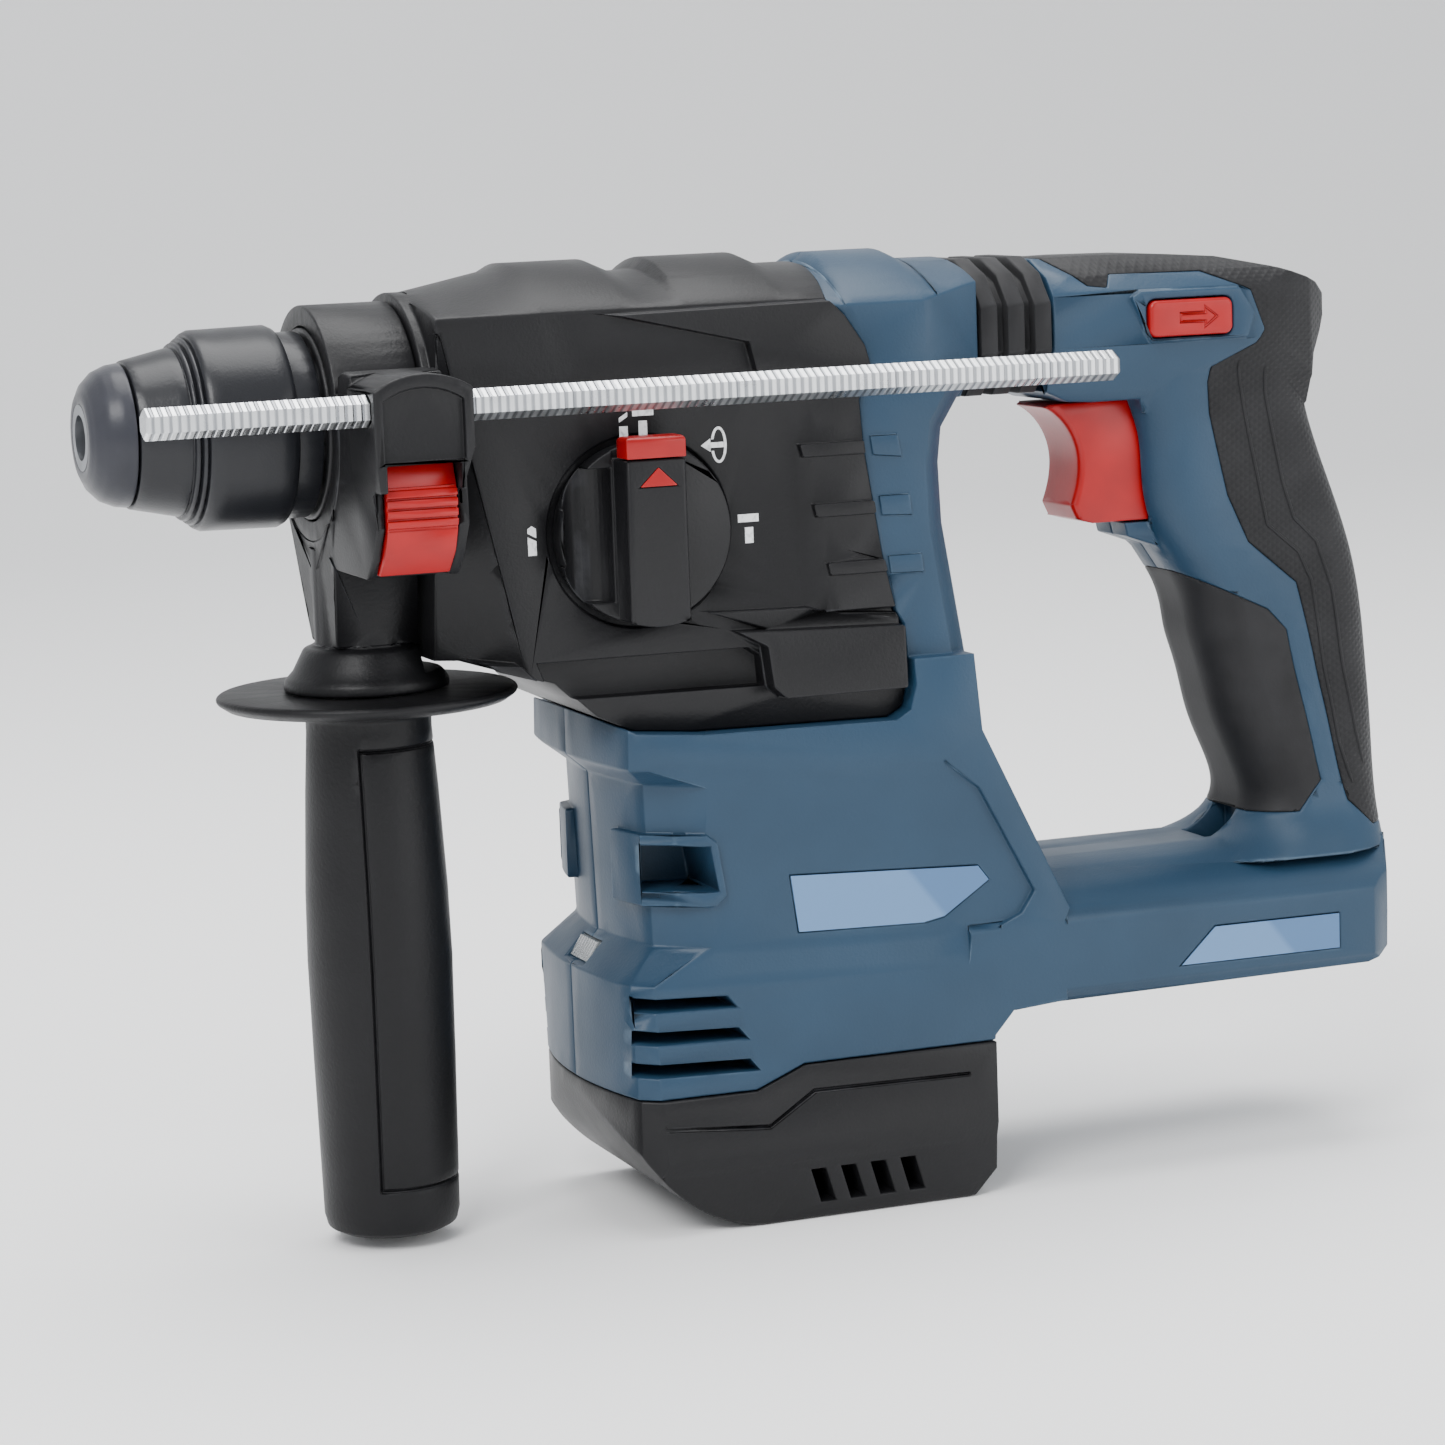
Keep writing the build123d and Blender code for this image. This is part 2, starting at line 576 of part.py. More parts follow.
def make_bottom_bumper():
    """Soft cap under the motor, with outlet slots and the seat of the lower bearing."""
    outline = [(108, -156.3), (140.5, -156.6), (144, -155.2), (152.5, BOOT_SEAM_REAR - FIT),
               (201, BOOT_SEAM_REAR - FIT), (201, -182.5), (195.5, BOOT_BOTTOM), (143, BOOT_BOTTOM)]
    plan = [(113, -32.5), (118, -35.5), (205, -35.5), (205, 35.5), (118, 35.5), (113, 32.5)]
    taper = [(35.5, -150), (35.5, -171), (34.4, -174.6), (33, -191)]
    with BuildPart() as cap:
        with BuildSketch(Plane.XZ):
            with BuildLine():
                Polyline(*outline)
                Spline(outline[-1], (128, -184.4), (117, -175), (110.6, -165), outline[0])
            make_face()
        extrude(amount=36, both=True)
        with BuildSketch(Plane.XY.offset(-200)):
            with BuildLine():
                Polyline(*plan)
                ThreePointArc(plan[-1], (108.5, 0), plan[0])
            make_face()
        extrude(amount=60, mode=Mode.INTERSECT)
        add(section_prism(taper + [(-y, z) for y, z in reversed(taper)], 100, 210),
            mode=Mode.INTERSECT)
        # inside: room for the fan, boss for the bearing
        add(upright_ring(MOTOR_X, 0, 29, -180, -150), mode=Mode.SUBTRACT)
        add(upright_ring(MOTOR_X, 0, 22, -185, -178), mode=Mode.SUBTRACT)
        add(upright(MOTOR_X, [(0, -186), (12, -186), (12, -172), (9.05, -172), (9.05, -178),
                              (0, -178)]))
        # mould line and outlet slots
        groove = [(112, -162.2), (143.2, -164.9), (154.3, -157.8), (193.9, -158.4),
                  (193.9, -159.2), (154.6, -158.6), (143.4, -165.7), (112, -163.0)]
        add(both_sides(groove, 35.0, 40), mode=Mode.SUBTRACT)
        for step in range(4):
            x = 153.6 + 7.5 * step
            add(both_sides([(x, -177), (x + 3.6, -177), (x + 6.1, -185), (x + 2.5, -185)], 18, 40),
                mode=Mode.SUBTRACT)
    return cap.part


def make_bellows():
    """Ribbed rubber sleeve wrapped round the arm to the handle."""
    with BuildPart() as sleeve:
        add(section_prism(bridge_outline(2.8), 206.3, 226.2))
        for start in (207.0, 213.9, 220.8):
            add(section_prism(bridge_outline(0), start, start + 4.4))
        add(section_prism(bridge_outline(5), 200, 230), mode=Mode.SUBTRACT)
    return sleeve.part


# ---------------------------------------------------------------- tool holder and spindle
BALL_X = 22.0
BALL_R = 3.2
BALL_CENTRE = 8.85
SPINDLE_TEETH = 40
BEVEL_TEETH = 14


def make_nose_cap():
    """Rubber dust cap at the mouth of the tool holder."""
    return turned([(0, 7.4), (0, 9.5), (1.2, 12), (3.5, 14.3), (6.5, 15.6), (9.3, 16), (9.3, 9),
                   (8, 9), (8, 7.4)])


def make_locking_sleeve():
    """Pull-back sleeve that frees the tool bit."""
    return turned([(9.8, 9.3), (9.8, 16.4), (20.8, 18.8), (21.2, 18.4), (21.2, 19.6), (22.2, 19.9),
                   (22.2, 19.3), (22.7, 19.3), (22.7, 20.6), (23.6, 20.9), (23.6, 20.3),
                   (24, 20.3), (24, 21.6), (25.5, 22.3), (42.3, 22.6), (43.8, 21.9), (44, 21.4),
                   (44, 21.15), (34, 21.15), (34, 13.6), (12.9, 13.6), (12.9, 9.3)])


def make_locking_ring():
    """Steel ring that holds the balls in and carries the spring."""
    return turned([(18.5, 12.15), (18.5, 13.6), (26.5, 13.6), (26.5, 9.4), (25.3, 9.4),
                   (25.3, 12.15)])


def coil(radius, wire, height, turns):
    """Compression spring standing on the origin along Z, with round wire."""
    with BuildPart() as spring:
        with BuildLine() as path:
            Helix(pitch=height / turns, height=height, radius=radius)
        with BuildSketch(path.line ^ 0):
            Circle(wire)
        sweep(path=path.line, is_frenet=True)
    return spring.part


def coil_along_x(radius, wire, start, end, turns, y=0.0, z=0.0):
    """Compression spring along X between start and end."""
    spring = coil(radius, wire, end - start - 2 * wire, turns)
    return Pos(start + wire, y, z) * Rot(0, 90, 0) * spring


def make_locking_balls():
    """Balls that lock the grooved shank."""
    with BuildPart() as balls:
        with Locations((BALL_X, 0, BALL_CENTRE), (BALL_X, 0, -BALL_CENTRE)):
            Sphere(BALL_R)
    return balls.part


def make_sleeve_stop():
    """Collar behind the sleeve that keeps dust out of the neck."""
    return turned([(43, 14), (43, 19.6), (44, 20.8), (49.6, 20.8), (49.6, 17), (48, 17), (48, 14)])


def make_spindle():
    """Tool holder and hammer cylinder in one turned piece."""
    outline = [(0, 7.4), (8, 7.4), (8, 9), (40, 9), (40, 14), (50.4, 14), (50.4, SPINDLE_R),
               (SPINDLE_END, SPINDLE_R), (SPINDLE_END, CYLINDER_BORE_R),
               (CYLINDER_START, CYLINDER_BORE_R), (CYLINDER_START, ANVIL_BORE_R),
               (SOCKET_END, ANVIL_BORE_R), (SOCKET_END, SOCKET_R), (0, SOCKET_R)]
    with BuildPart() as body:
        add(turned(outline))
        for direction in (1, -1):
            with Locations(Plane(origin=(BALL_X, 0, 5.6 * direction), z_dir=(0, 0, direction))):
                Cylinder(BALL_R + RUN, 6, align=(Align.CENTER, Align.CENTER, Align.MIN),
                         mode=Mode.SUBTRACT)
    return body.part


def make_spindle_gear():
    """Bevel gear pressed on the spindle, with shallow teeth on its rear face."""
    with BuildPart() as gear:
        add(turned([(82, 15), (82, 23.5), (88.3, 23.5), (91.1, 15.5), (91.1, 15)]))
        groove = side_layer([(87.7, 24), (88.8, 24), (91.5, 15.2), (90.5, 15.2)], -0.6, 0.6)
        for tooth in range(SPINDLE_TEETH):
            add(Rot(360 / SPINDLE_TEETH * (tooth + 0.5), 0, 0) * groove, mode=Mode.SUBTRACT)
    return gear.part


# ---------------------------------------------------------------- impact train
WRIST_X = 104.5


def make_piston():
    """Driving piston with its seal groove and hollow skirt."""
    with BuildPart() as body:
        add(turned([(96, 0), (96, 12.02), (97.5, 12.02), (97.5, 10.8), (99.5, 10.8), (99.5, 12.02),
                    (111, 12.02), (111, 8.5), (98.6, 8.5), (98.6, 0)]))
        with Locations((WRIST_X, 0, 0)):
            Cylinder(2.5, 30, mode=Mode.SUBTRACT)
    return body.part


def make_connecting_rod():
    """Rod from the wrist pin to the crank pin."""
    with BuildPart() as rod:
        with BuildSketch(Plane.XY.offset(-4)):
            with Locations((WRIST_X, 0)):
                Circle(5.5)
            with Locations((CRANK_X + CRANK_THROW, 0)):
                Circle(7.5)
            with Locations(((WRIST_X + CRANK_X + CRANK_THROW) / 2, 0)):
                Rectangle(28, 7)
            with Locations((WRIST_X, 0)):
                Circle(2.55, mode=Mode.SUBTRACT)
            with Locations((CRANK_X + CRANK_THROW, 0)):
                Circle(3.9, mode=Mode.SUBTRACT)
        extrude(amount=8)
        with BuildSketch(Plane.XY.offset(2.6)):
            with Locations(((WRIST_X + CRANK_X + CRANK_THROW) / 2 - 0.5, 0)):
                SlotOverall(17, 4)
        extrude(amount=3, mode=Mode.SUBTRACT)
    return rod.part


def make_striker():
    """Free flying striker with a lighter nose."""
    return turned([(60, 0), (60, 5), (61, 6), (64, 6), (64, 12.02), (71, 12.02), (71, 10.8),
                   (73, 10.8), (73, 12.02), (79.2, 12.02), (80, 11.2), (80, 0)])


def make_beat_piece():
    """Anvil that passes the blow on to the bit."""
    return turned([(38, 0), (38, 4.6), (39.5, 8.12), (44, 8.12), (44, 7.4), (45.5, 7.4),
                   (45.5, 8.12), (51.5, 8.12), (53, 6.8), (53, 0)])


# ---------------------------------------------------------------- gear train
def toothed_disc(x, teeth, root, tip, phase, bottom, top, bore):
    """Spur gear about the vertical line at x; phase is counted in tooth pitches."""
    points = []
    pitch = 360 / teeth
    for tooth in range(teeth):
        for radius, share in ((root, -0.34), (tip, -0.14), (tip, 0.14), (root, 0.34)):
            angle = radians((tooth + phase + share) * pitch)
            points.append((x + radius * cos(angle), radius * sin(angle)))
    with BuildPart() as gear:
        with BuildSketch(Plane.XY.offset(bottom)):
            with BuildLine():
                Polyline(*points, close=True)
            make_face()
            with Locations((x, 0)):
                Circle(bore, mode=Mode.SUBTRACT)
        extrude(amount=top - bottom)
    return gear.part


def make_crankshaft():
    """Upright shaft with its throw disc and crank pin."""
    with BuildPart() as shaft:
        add(upright(CRANK_X, [(0, -62), (5, -62), (5, -30), (14, -30), (14, -21), (13, -20),
                              (0, -20)]))
        add(upright_ring(CRANK_X + CRANK_THROW, 0, 3.5, -21, -4.6))
    return shaft.part


def make_idler():
    """Idler shaft with the small bevel pinion on top."""
    with BuildPart() as shaft:
        add(upright(IDLER_X, [(0, -56), (3.5, -56), (3.5, -30), (6.5, -30), (6.5, -27), (8.1, -26),
                              (8.1, -23.5), (5.5, -16), (0, -16)]))
        groove = side_layer([(7.3, -24.2), (8.6, -24.2), (6.1, -15.5), (5, -15.5)], -0.6, 0.6)
        for tooth in range(BEVEL_TEETH):
            turn = Pos(IDLER_X, 0, 0) * Rot(0, 0, 360 / BEVEL_TEETH * (tooth + 0.5))
            add(turn * groove, mode=Mode.SUBTRACT)
    return shaft.part


def make_motor_rotor():
    """Rotor shaft with the magnet core."""
    return upright(MOTOR_X, [(0, -178), (3, -178), (3, -143), (10, -143), (10, -141), (15.3, -141),
                             (15.3, -109), (10, -109), (10, -107), (3, -107), (3, -51), (2, -50.4),
                             (2, -42), (0, -42)])


def make_motor_stator():
    """Laminated stator with six slots."""
    with BuildPart() as stator:
        add(upright_ring(MOTOR_X, 16, 26.5, -142, -108))
        for index in range(6):
            turn = Pos(MOTOR_X, 0, 0) * Rot(0, 0, 60 * index + 30)
            add(turn * box_between((15, -2.2, -143), (23, 2.2, -107)), mode=Mode.SUBTRACT)
    return stator.part


def make_motor_windings():
    """Copper end windings above and below the stator."""
    with BuildPart() as coils:
        for bottom in (-108, -147):
            for index in range(6):
                turn = Pos(MOTOR_X, 0, 0) * Rot(0, 0, 60 * index)
                add(turn * box_between((17.2, -7, bottom), (24, 7, bottom + 5)))
    return coils.part


def make_fan():
    """Cooling fan with straight blades."""
    with BuildPart() as fan:
        add(upright_ring(MOTOR_X, 3, 7, -166, -154))
        add(upright_ring(MOTOR_X, 3, 26, -155.5, -154))
        for index in range(11):
            turn = Pos(MOTOR_X, 0, 0) * Rot(0, 0, 360 / 11 * index)
            add(turn * box_between((9, -0.6, -164), (25.6, 0.6, -155)))
    return fan.part


# ---------------------------------------------------------------- handle and controls
def make_trigger():
    """Curved speed trigger."""
    front = [(230.2, -6.6), (235.4, -10.8), (238.6, -18), (238.2, -25.5), (236.6, -30.4)]
    with BuildPart() as trigger:
        with BuildSketch(Plane.XZ):
            with BuildLine():
                Spline(*front)
                Polyline(front[-1], (238.2, -33.8), (242, -34.9), (258, -34.9), (258, -5.8),
                         (231.4, -5.8), front[0])
            make_face()
        extrude(amount=TRIGGER_HALF, both=True)
        nose = trigger.edges().filter_by(lambda e: e.center().X < 239.5
                                         and abs(abs(e.center().Y) - TRIGGER_HALF) < 0.01)
        fillet(nose, 1.6)
    return trigger.part


def button_outline(inset):
    """Face of the direction button in side view."""
    with BuildSketch(Plane.XZ) as face:
        with Locations((BUTTON_X, BUTTON_Z)):
            RectangleRounded(BUTTON_LENGTH - 2 * inset, BUTTON_HEIGHT - 2 * inset, 2)
    return face.sketch


def make_direction_button():
    """Slide-through button for the turning direction, with an arrow on each face."""
    arrow = [(258.5, 12.6), (265, 12.6), (265, 11.2), (268.6, 13.8), (265, 16.4), (265, 15.0),
             (258.5, 15.0)]
    with BuildPart() as button:
        extrude(button_outline(0), amount=24.3, both=True)
        rims = button.faces().filter_by(lambda f: abs(f.center().Y) > 24).edges()
        fillet(rims, 1.0)
        add(both_sides(arrow, 24.0, 25), mode=Mode.SUBTRACT)
        add(both_sides(arrow, 23.5, 24.3, 0.5))
    return button.part


def make_mode_knob():
    """Turning knob of the mode selector with its grip bar and shaft."""
    plane = Plane(origin=(KNOB_X, -28.8, KNOB_Z), x_dir=(1, 0, 0), z_dir=(0, -1, 0))
    with BuildPart() as knob:
        with BuildSketch(plane):
            Circle(KNOB_R)
        extrude(amount=6)
        with BuildSketch(plane):
            Circle(KNOB_R)
            Rectangle(14.3, 50, mode=Mode.INTERSECT)
            with Locations((0, 27)):
                Rectangle(40, 19.4, mode=Mode.SUBTRACT)
        extrude(amount=14.2)
        corners = knob.edges().filter_by(Axis.Z).filter_by(lambda e: e.center().Y < -40)
        fillet(corners, 1.0)
        # finger scoop on one side, arrow seat, shaft
        scoop = Plane(origin=(KNOB_X - 13.6, -34.8, KNOB_Z), z_dir=(0, 0, 1))
        with Locations(scoop):
            Cylinder(5.6, 30, mode=Mode.SUBTRACT)
        add(side_layer(KNOB_ARROW, -42.2, -46), mode=Mode.SUBTRACT)
        with Locations(Plane(origin=(KNOB_X, -29, KNOB_Z), z_dir=(0, 1, 0))):
            Cylinder(5, 6.5, align=(Align.CENTER, Align.CENTER, Align.MIN))
        # seat of the lock button
        add(box_between((KNOB_X - 7.5, -50, -9.6), (KNOB_X + 7.5, -33.9, 0)), mode=Mode.SUBTRACT)
    return knob.part


KNOB_ARROW = [(119.2, -11.2), (114.6, -15.6), (123.8, -15.6)]
MARK_FACE = -CASE_HALF
DRILL_MARK = [[(92.4, -26.0), (94.4, -27.0), (94.4, -30.2), (92.4, -30.2)],
              [(92.4, -25.2), (94.4, -26.3), (94.4, -24.2), (93.4, -23.6), (92.4, -24.2)]]
HAMMER_MARK = [[(142.6, -24.4), (147.6, -24.4), (147.6, -26.2), (142.6, -26.2)],
               [(144.2, -27.4), (146.2, -27.4), (146.2, -31.0), (144.2, -31.0)]]
BOTH_MARK = [[(115, -2.8), (117, -2.8), (117, -5.3), (115, -5.3)],
             [(115, -1.9), (117, -0.7), (117, 0.3), (115, -0.9)],
             [(119.6, -1.8), (121.6, -1.8), (121.6, -5.3), (119.6, -5.3)],
             [(118.2, -0.7), (123.2, -0.7), (123.2, 0.6), (118.2, 0.6)]]
TURN_MARK = [(134.3, -8.3), (136.6, -6.8), (136.6, -7.7), (139.8, -7.7), (139.8, -8.9),
             (136.6, -8.9), (136.6, -9.8)]


def make_mode_marks():
    """Printed pictograms round the mode knob."""
    with BuildPart() as marks:
        for outline in DRILL_MARK + HAMMER_MARK + BOTH_MARK + [TURN_MARK]:
            add(side_layer(outline, MARK_FACE - 0.15, MARK_FACE))
        with BuildSketch(Plane.XZ.offset(-MARK_FACE)):
            with Locations((138.6, -8.3)):
                Ellipse(1.9, 4.1)
                Ellipse(1.3, 3.5, mode=Mode.SUBTRACT)
                with Locations((-1.4, 0)):
                    Rectangle(2, 2.6, mode=Mode.SUBTRACT)
        extrude(amount=0.15)
    return marks.part


def make_knob_lock():
    """Red catch at the top of the knob bar."""
    with BuildPart() as lock:
        add(box_between((KNOB_X - 7.0, -43.2, -9.2), (KNOB_X + 7.0, -36.6, -4.4)))
        top = lock.edges().filter_by(lambda e: e.center().Z > -4.5)
        fillet(top, 1.2)
        add(box_between((KNOB_X - 3, -36.6, -8.6), (KNOB_X + 3, -35.8, -7)))
    return lock.part


# ---------------------------------------------------------------- side handle
BRACKET = [(-27, 12), (-31, 13), (-36, 12.4), (-37, 9), (-55.5, 9), (-55.5, -3), (-51, -8), (-51.5, -20),
           (-47, -27), (-42, -31.5), (-18, -31.5), (-10, -26), (-14, -18), (-21, -8), (-24, 0)]
BUTTON_POCKET = [(-60, -6), (-45.4, -6), (-45.4, -21.5), (-39.3, -31.9), (-60, -32)]
STOP_BUTTON = [(-47.3, -6.6), (-50.5, -6.6), (-53, -13), (-53, -19), (-50, -25.5), (-44.6, -30.6),
               (-42.4, -30.6), (-47.3, -22.3)]
BOLT_R = 3.95


def make_clamp_bracket():
    """Clamping ring with the depth rod holder and the yoke down to the grip."""
    with BuildPart() as body:
        add(axial_ring(21.8, 26.5, 51.0, 70.6))
        add(section_prism(BRACKET, BRACKET_FRONT, 70.3))
        outer = section_prism(BRACKET, BRACKET_FRONT, BRACKET_REAR)
        add(outer & box_between((40, -60, -40), (80, -31.5, 40)))
        add(axial_ring(0, 21.8, 50, 72), mode=Mode.SUBTRACT)
        # yoke that narrows down to the grip neck
        with BuildPart(mode=Mode.PRIVATE) as yoke:
            for z, front, rear, half in ((-20, 51, 70.6, 19), (-50, 53, 72.2, 10)):
                with BuildSketch(Plane.XY.offset(z)):
                    with Locations(((front + rear) / 2, 0)):
                        Rectangle(rear - front, 2 * half)
            loft()
            add(upright_ring(HANDLE_X, 0, 11.3, -51, -28))
            add(upright(HANDLE_X, [(0, -50), (11.5, -50), (14, -51), (16.6, -56), (18.6, -58.2),
                                   (18.8, -60.4), (0, -60.4)]))
            add(box_between((BRACKET_REAR, -40, -56.4), (100, 40, -10)), mode=Mode.SUBTRACT)
            add(axial_ring(0, 21.8, 50, 73), mode=Mode.SUBTRACT)
            add(axial_ring(0, 28.8, 70.7, 75), mode=Mode.SUBTRACT)
        add(yoke.part)
        # arched hood over the rod
        with BuildSketch(Plane.XZ.offset(35.5)):
            with BuildLine():
                Polyline((50.9, 9.8), (50.9, -5), (51.6, -12), (70.0, -12), (73.2, -3), (73.2, 9.8))
                ThreePointArc((73.2, 9.8), (62.05, 13.2), (50.9, 9.8))
            make_face()
        extrude(amount=20.3)
        # window for the rod, button pocket, rod and bolt holes
        with BuildSketch(Plane.XZ.offset(54.3)):
            with BuildLine():
                Polyline((52.9, 7.4), (52.9, -5.6), (71.0, -5.6), (71.0, 7.4))
                ThreePointArc((71.0, 7.4), (61.95, 10.2), (52.9, 7.4))
            make_face()
        extrude(amount=6, mode=Mode.SUBTRACT)
        add(section_prism(BUTTON_POCKET, 53.3, 69.9), mode=Mode.SUBTRACT)
        with BuildSketch(Plane.YZ.offset(40)):
            with Locations((ROD_Y, ROD_Z)):
                RegularPolygon(ROD_FLATS / 2 + 0.2, 6, major_radius=False, rotation=30)
        extrude(amount=45, mode=Mode.SUBTRACT)
        add(upright_ring(HANDLE_X, 0, BOLT_R, -61, -34), mode=Mode.SUBTRACT)
    return body.part


def make_stop_button():
    """Ribbed red button that frees the depth rod."""
    with BuildPart() as button:
        add(section_prism(STOP_BUTTON, 53.7, 69.5))
        for step in range(9):
            z = -9.2 - 2.2 * step
            add(box_between((53.0, -60, z - 0.3), (70, -52.2, z + 0.3)), mode=Mode.SUBTRACT)
    return button.part


GRIP_PROFILE = [(14.3, -70), (15.2, -84), (16.3, -107), (16.6, -123), (16.3, -146), (15.9, -167),
                (15.6, -182), (14.9, -184.8), (12.5, -186)]


def make_handle_grip():
    """Grip with its guard disc, turning on the clamp bolt."""
    skin = [(0, -60.8), (33.4, -60.8), (34.3, -61.5), (34.1, -62.4), (32, -63.8), (16, -65.2),
            (14.3, -67)]
    lower = [(r - 0.5, z) for r, z in GRIP_PROFILE]
    with BuildPart() as grip:
        add(upright(HANDLE_X, skin + GRIP_PROFILE + [(0, -186)]))
        add(upright_ring(HANDLE_X, 0, BOLT_R + RUN, -112, -60), mode=Mode.SUBTRACT)
        with BuildSketch(Plane.XY.offset(-76)):
            with Locations((HANDLE_X, 0)):
                RegularPolygon(6.5, 6, major_radius=False)
        extrude(amount=8, mode=Mode.SUBTRACT)
        # seam panel pressed into both grip shells
        with BuildPart(mode=Mode.PRIVATE) as lines:
            for z in (-73.6, -174.6):
                add(box_between((HANDLE_X - 6.6, -30, z), (90, 30, z + 0.7)))
            add(box_between((HANDLE_X - 6.6, -30, -174.6), (HANDLE_X - 5.9, 30, -73)))
            add(upright(HANDLE_X, [(0, -70)] + lower + [(0, -186)]), mode=Mode.SUBTRACT)
        add(lines.part, mode=Mode.SUBTRACT)
    return grip.part


def make_grip_nut():
    """Hexagon nut moulded into the grip."""
    with BuildPart() as nut:
        with BuildSketch(Plane.XY.offset(-76)):
            with Locations((HANDLE_X, 0)):
                RegularPolygon(6.5, 6, major_radius=False)
                Circle(BOLT_R + RUN, mode=Mode.SUBTRACT)
        extrude(amount=8)
    return nut.part


def make_depth_rod():
    """Hexagon depth rod with fine notches along its near corners."""
    with BuildPart() as rod:
        with BuildSketch(Plane.YZ.offset(ROD_FRONT)):
            with Locations((ROD_Y, ROD_Z)):
                RegularPolygon(ROD_FLATS / 2, 6, major_radius=False, rotation=30)
        extrude(amount=ROD_REAR - ROD_FRONT)
        ends = rod.faces().sort_by(Axis.X)
        chamfer(ends[0].edges() + ends[-1].edges(), 0.5)
        count = int((ROD_REAR - ROD_FRONT - 6) / 2)
        with Locations(*[(ROD_FRONT + 4 + 2 * index, ROD_Y - 3.45, ROD_Z) for index in range(count)]):
            Box(0.8, 1.0, 4, mode=Mode.SUBTRACT)
    return rod.part


# ---------------------------------------------------------------- small pieces
def make_housing_screws():
    """Screws that hold the two housing halves together."""
    with BuildPart() as screws:
        for x, z, half_width in MOTOR_SCREWS:
            with Locations(Plane(origin=(x, half_width - 8, z), z_dir=(0, 1, 0))):
                Cylinder(SCREW_R, half_width + 4, align=(Align.CENTER, Align.CENTER, Align.MAX))
                Cylinder(3.3, 3, align=(Align.CENTER, Align.CENTER, Align.MIN))
                Cylinder(1.3, 5.8, mode=Mode.SUBTRACT)
    return screws.part


def make_case_screws():
    """Screws from the motor room up into the gear housing floor."""
    with BuildPart() as screws:
        with Locations(*[(x, y, -78) for x, y in CASE_SCREWS]):
            Cylinder(SCREW_R, 17, align=(Align.CENTER, Align.CENTER, Align.MIN))
            Cylinder(3.3, 3, align=(Align.CENTER, Align.CENTER, Align.MAX))
    return screws.part


def make_power_leads():
    """Three motor leads through the column and the arm to the switch."""
    with BuildPart() as leads:
        for y in (-4, 0, 4):
            with BuildLine() as path:
                FilletPolyline((174, y, -102.8), (174, y, -79), (187, y, -79), (187, y, 8),
                               (280, y, 8), (280, y, -3.8), radius=2.5)
            with BuildSketch(Plane(origin=(174, y, -102.8), z_dir=(0, 0, 1))):
                Circle(1.2)
            sweep(path=path.line)
    return leads.part


def make_terminal_block():
    """Battery contacts under the handle foot."""
    with BuildPart() as block:
        add(box_between((241, -14, -140), (262, 14, -133.5)))
        for y in (-9, -3, 3, 9):
            add(box_between((262, y - 0.4, -139.4), (272, y + 0.4, -134.4)))
    return block.part


def make_electronics_board():
    """Circuit board with its main parts, above the battery slot."""
    with BuildPart() as board:
        add(box_between((230, -16.5, -130.5), (300, 16.5, -128.9)))
        with Locations(*[(240 + 8 * index, 8, -128.9) for index in range(4)]):
            Cylinder(3, 5, align=(Align.CENTER, Align.CENTER, Align.MIN))
        with Locations((250, -7, -128.9), (268, -7, -128.9)):
            Box(12, 10, 3, align=(Align.CENTER, Align.CENTER, Align.MIN))
    return board.part


def make_work_light_lens():
    """Clear lens of the work light in the sloping front ledge."""
    with BuildPart() as lens:
        add(side_prism(LENS_WEDGE, LENS_HALF))
    return lens.part


housing = make_housing()
keep(make_housing_half(housing, -1), "housing_left")
keep(make_housing_half(housing, 1), "housing_right")
keep(make_gear_housing(), "gear_housing")
keep(make_bottom_bumper(), "bottom_bumper")
keep(make_bellows(), "bellows")
keep(make_rear_grip_pad(), "rear_grip_pad")
keep(make_finger_grip_pad(), "finger_grip_pad")
keep(both_sides(LABEL_PLATE, LABEL_FACE - 0.6, LABEL_FACE, 0.2), "side_plates")
keep(both_sides(FOOT_PLATE, LOWER_HALF - 0.6, LOWER_HALF, 0.2), "foot_plates")
keep(make_work_light_lens(), "work_light_lens")
keep(box_between((119.3, -5.5, -128.4), (120.8, 5.5, -124)), "work_light_board")
keep(make_housing_screws(), "housing_screws")
keep(make_case_screws(), "gear_housing_screws")
keep(make_motor_stator(), "motor_stator")
keep(make_motor_windings(), "motor_windings")
keep(join(upright_ring(MOTOR_X, 3 + RUN, 9, -73, -66),
          upright_ring(MOTOR_X, 3 + RUN, 9, -178, -172)), "motor_bearings")
keep(axial_ring(SPINDLE_R + RUN, NECK_BORE_R, 54, 64), "front_spindle_bearing")
keep(axial_ring(SPINDLE_R + RUN, 20.5, 105.2, 111.8), "rear_spindle_bearing")
keep(axial_ring(SPINDLE_R + RUN, NECK_BORE_R, 50.7, 53.7), "spindle_seal")
keep(join(upright_ring(CRANK_X, 5 + RUN, 11, -62, -55.2),
          upright_ring(IDLER_X, 3.5 + RUN, 7, -56, -51.6)), "gear_bearings")
keep(make_electronics_board(), "electronics_board")
keep(box_between((268.5, -9, -34), (292, 9, -4)), "switch_module")
keep(make_terminal_block(), "terminal_block")
keep(make_power_leads(), "power_leads")
keep(make_mode_marks(), "mode_marks")
keep(make_spindle(), "spindle")
keep(make_spindle_gear(), "spindle_gear")
keep(make_locking_balls(), "locking_balls")
keep(make_nose_cap(), "nose_cap")
keep(make_sleeve_stop(), "sleeve_stop")
keep(make_locking_sleeve(), "locking_sleeve")
keep(make_locking_ring(), "locking_ring")
keep(coil_along_x(11.1, 0.6, 26.6, 39.9, 5), "sleeve_spring")
keep(make_piston(), "piston")
keep(axial_ring(10.85, 12.05, 97.6, 99.4), "piston_ring")
keep(Pos(WRIST_X, 0, 0) * Cylinder(2.5, 21), "wrist_pin")
keep(make_connecting_rod(), "connecting_rod")
keep(make_striker(), "striker")
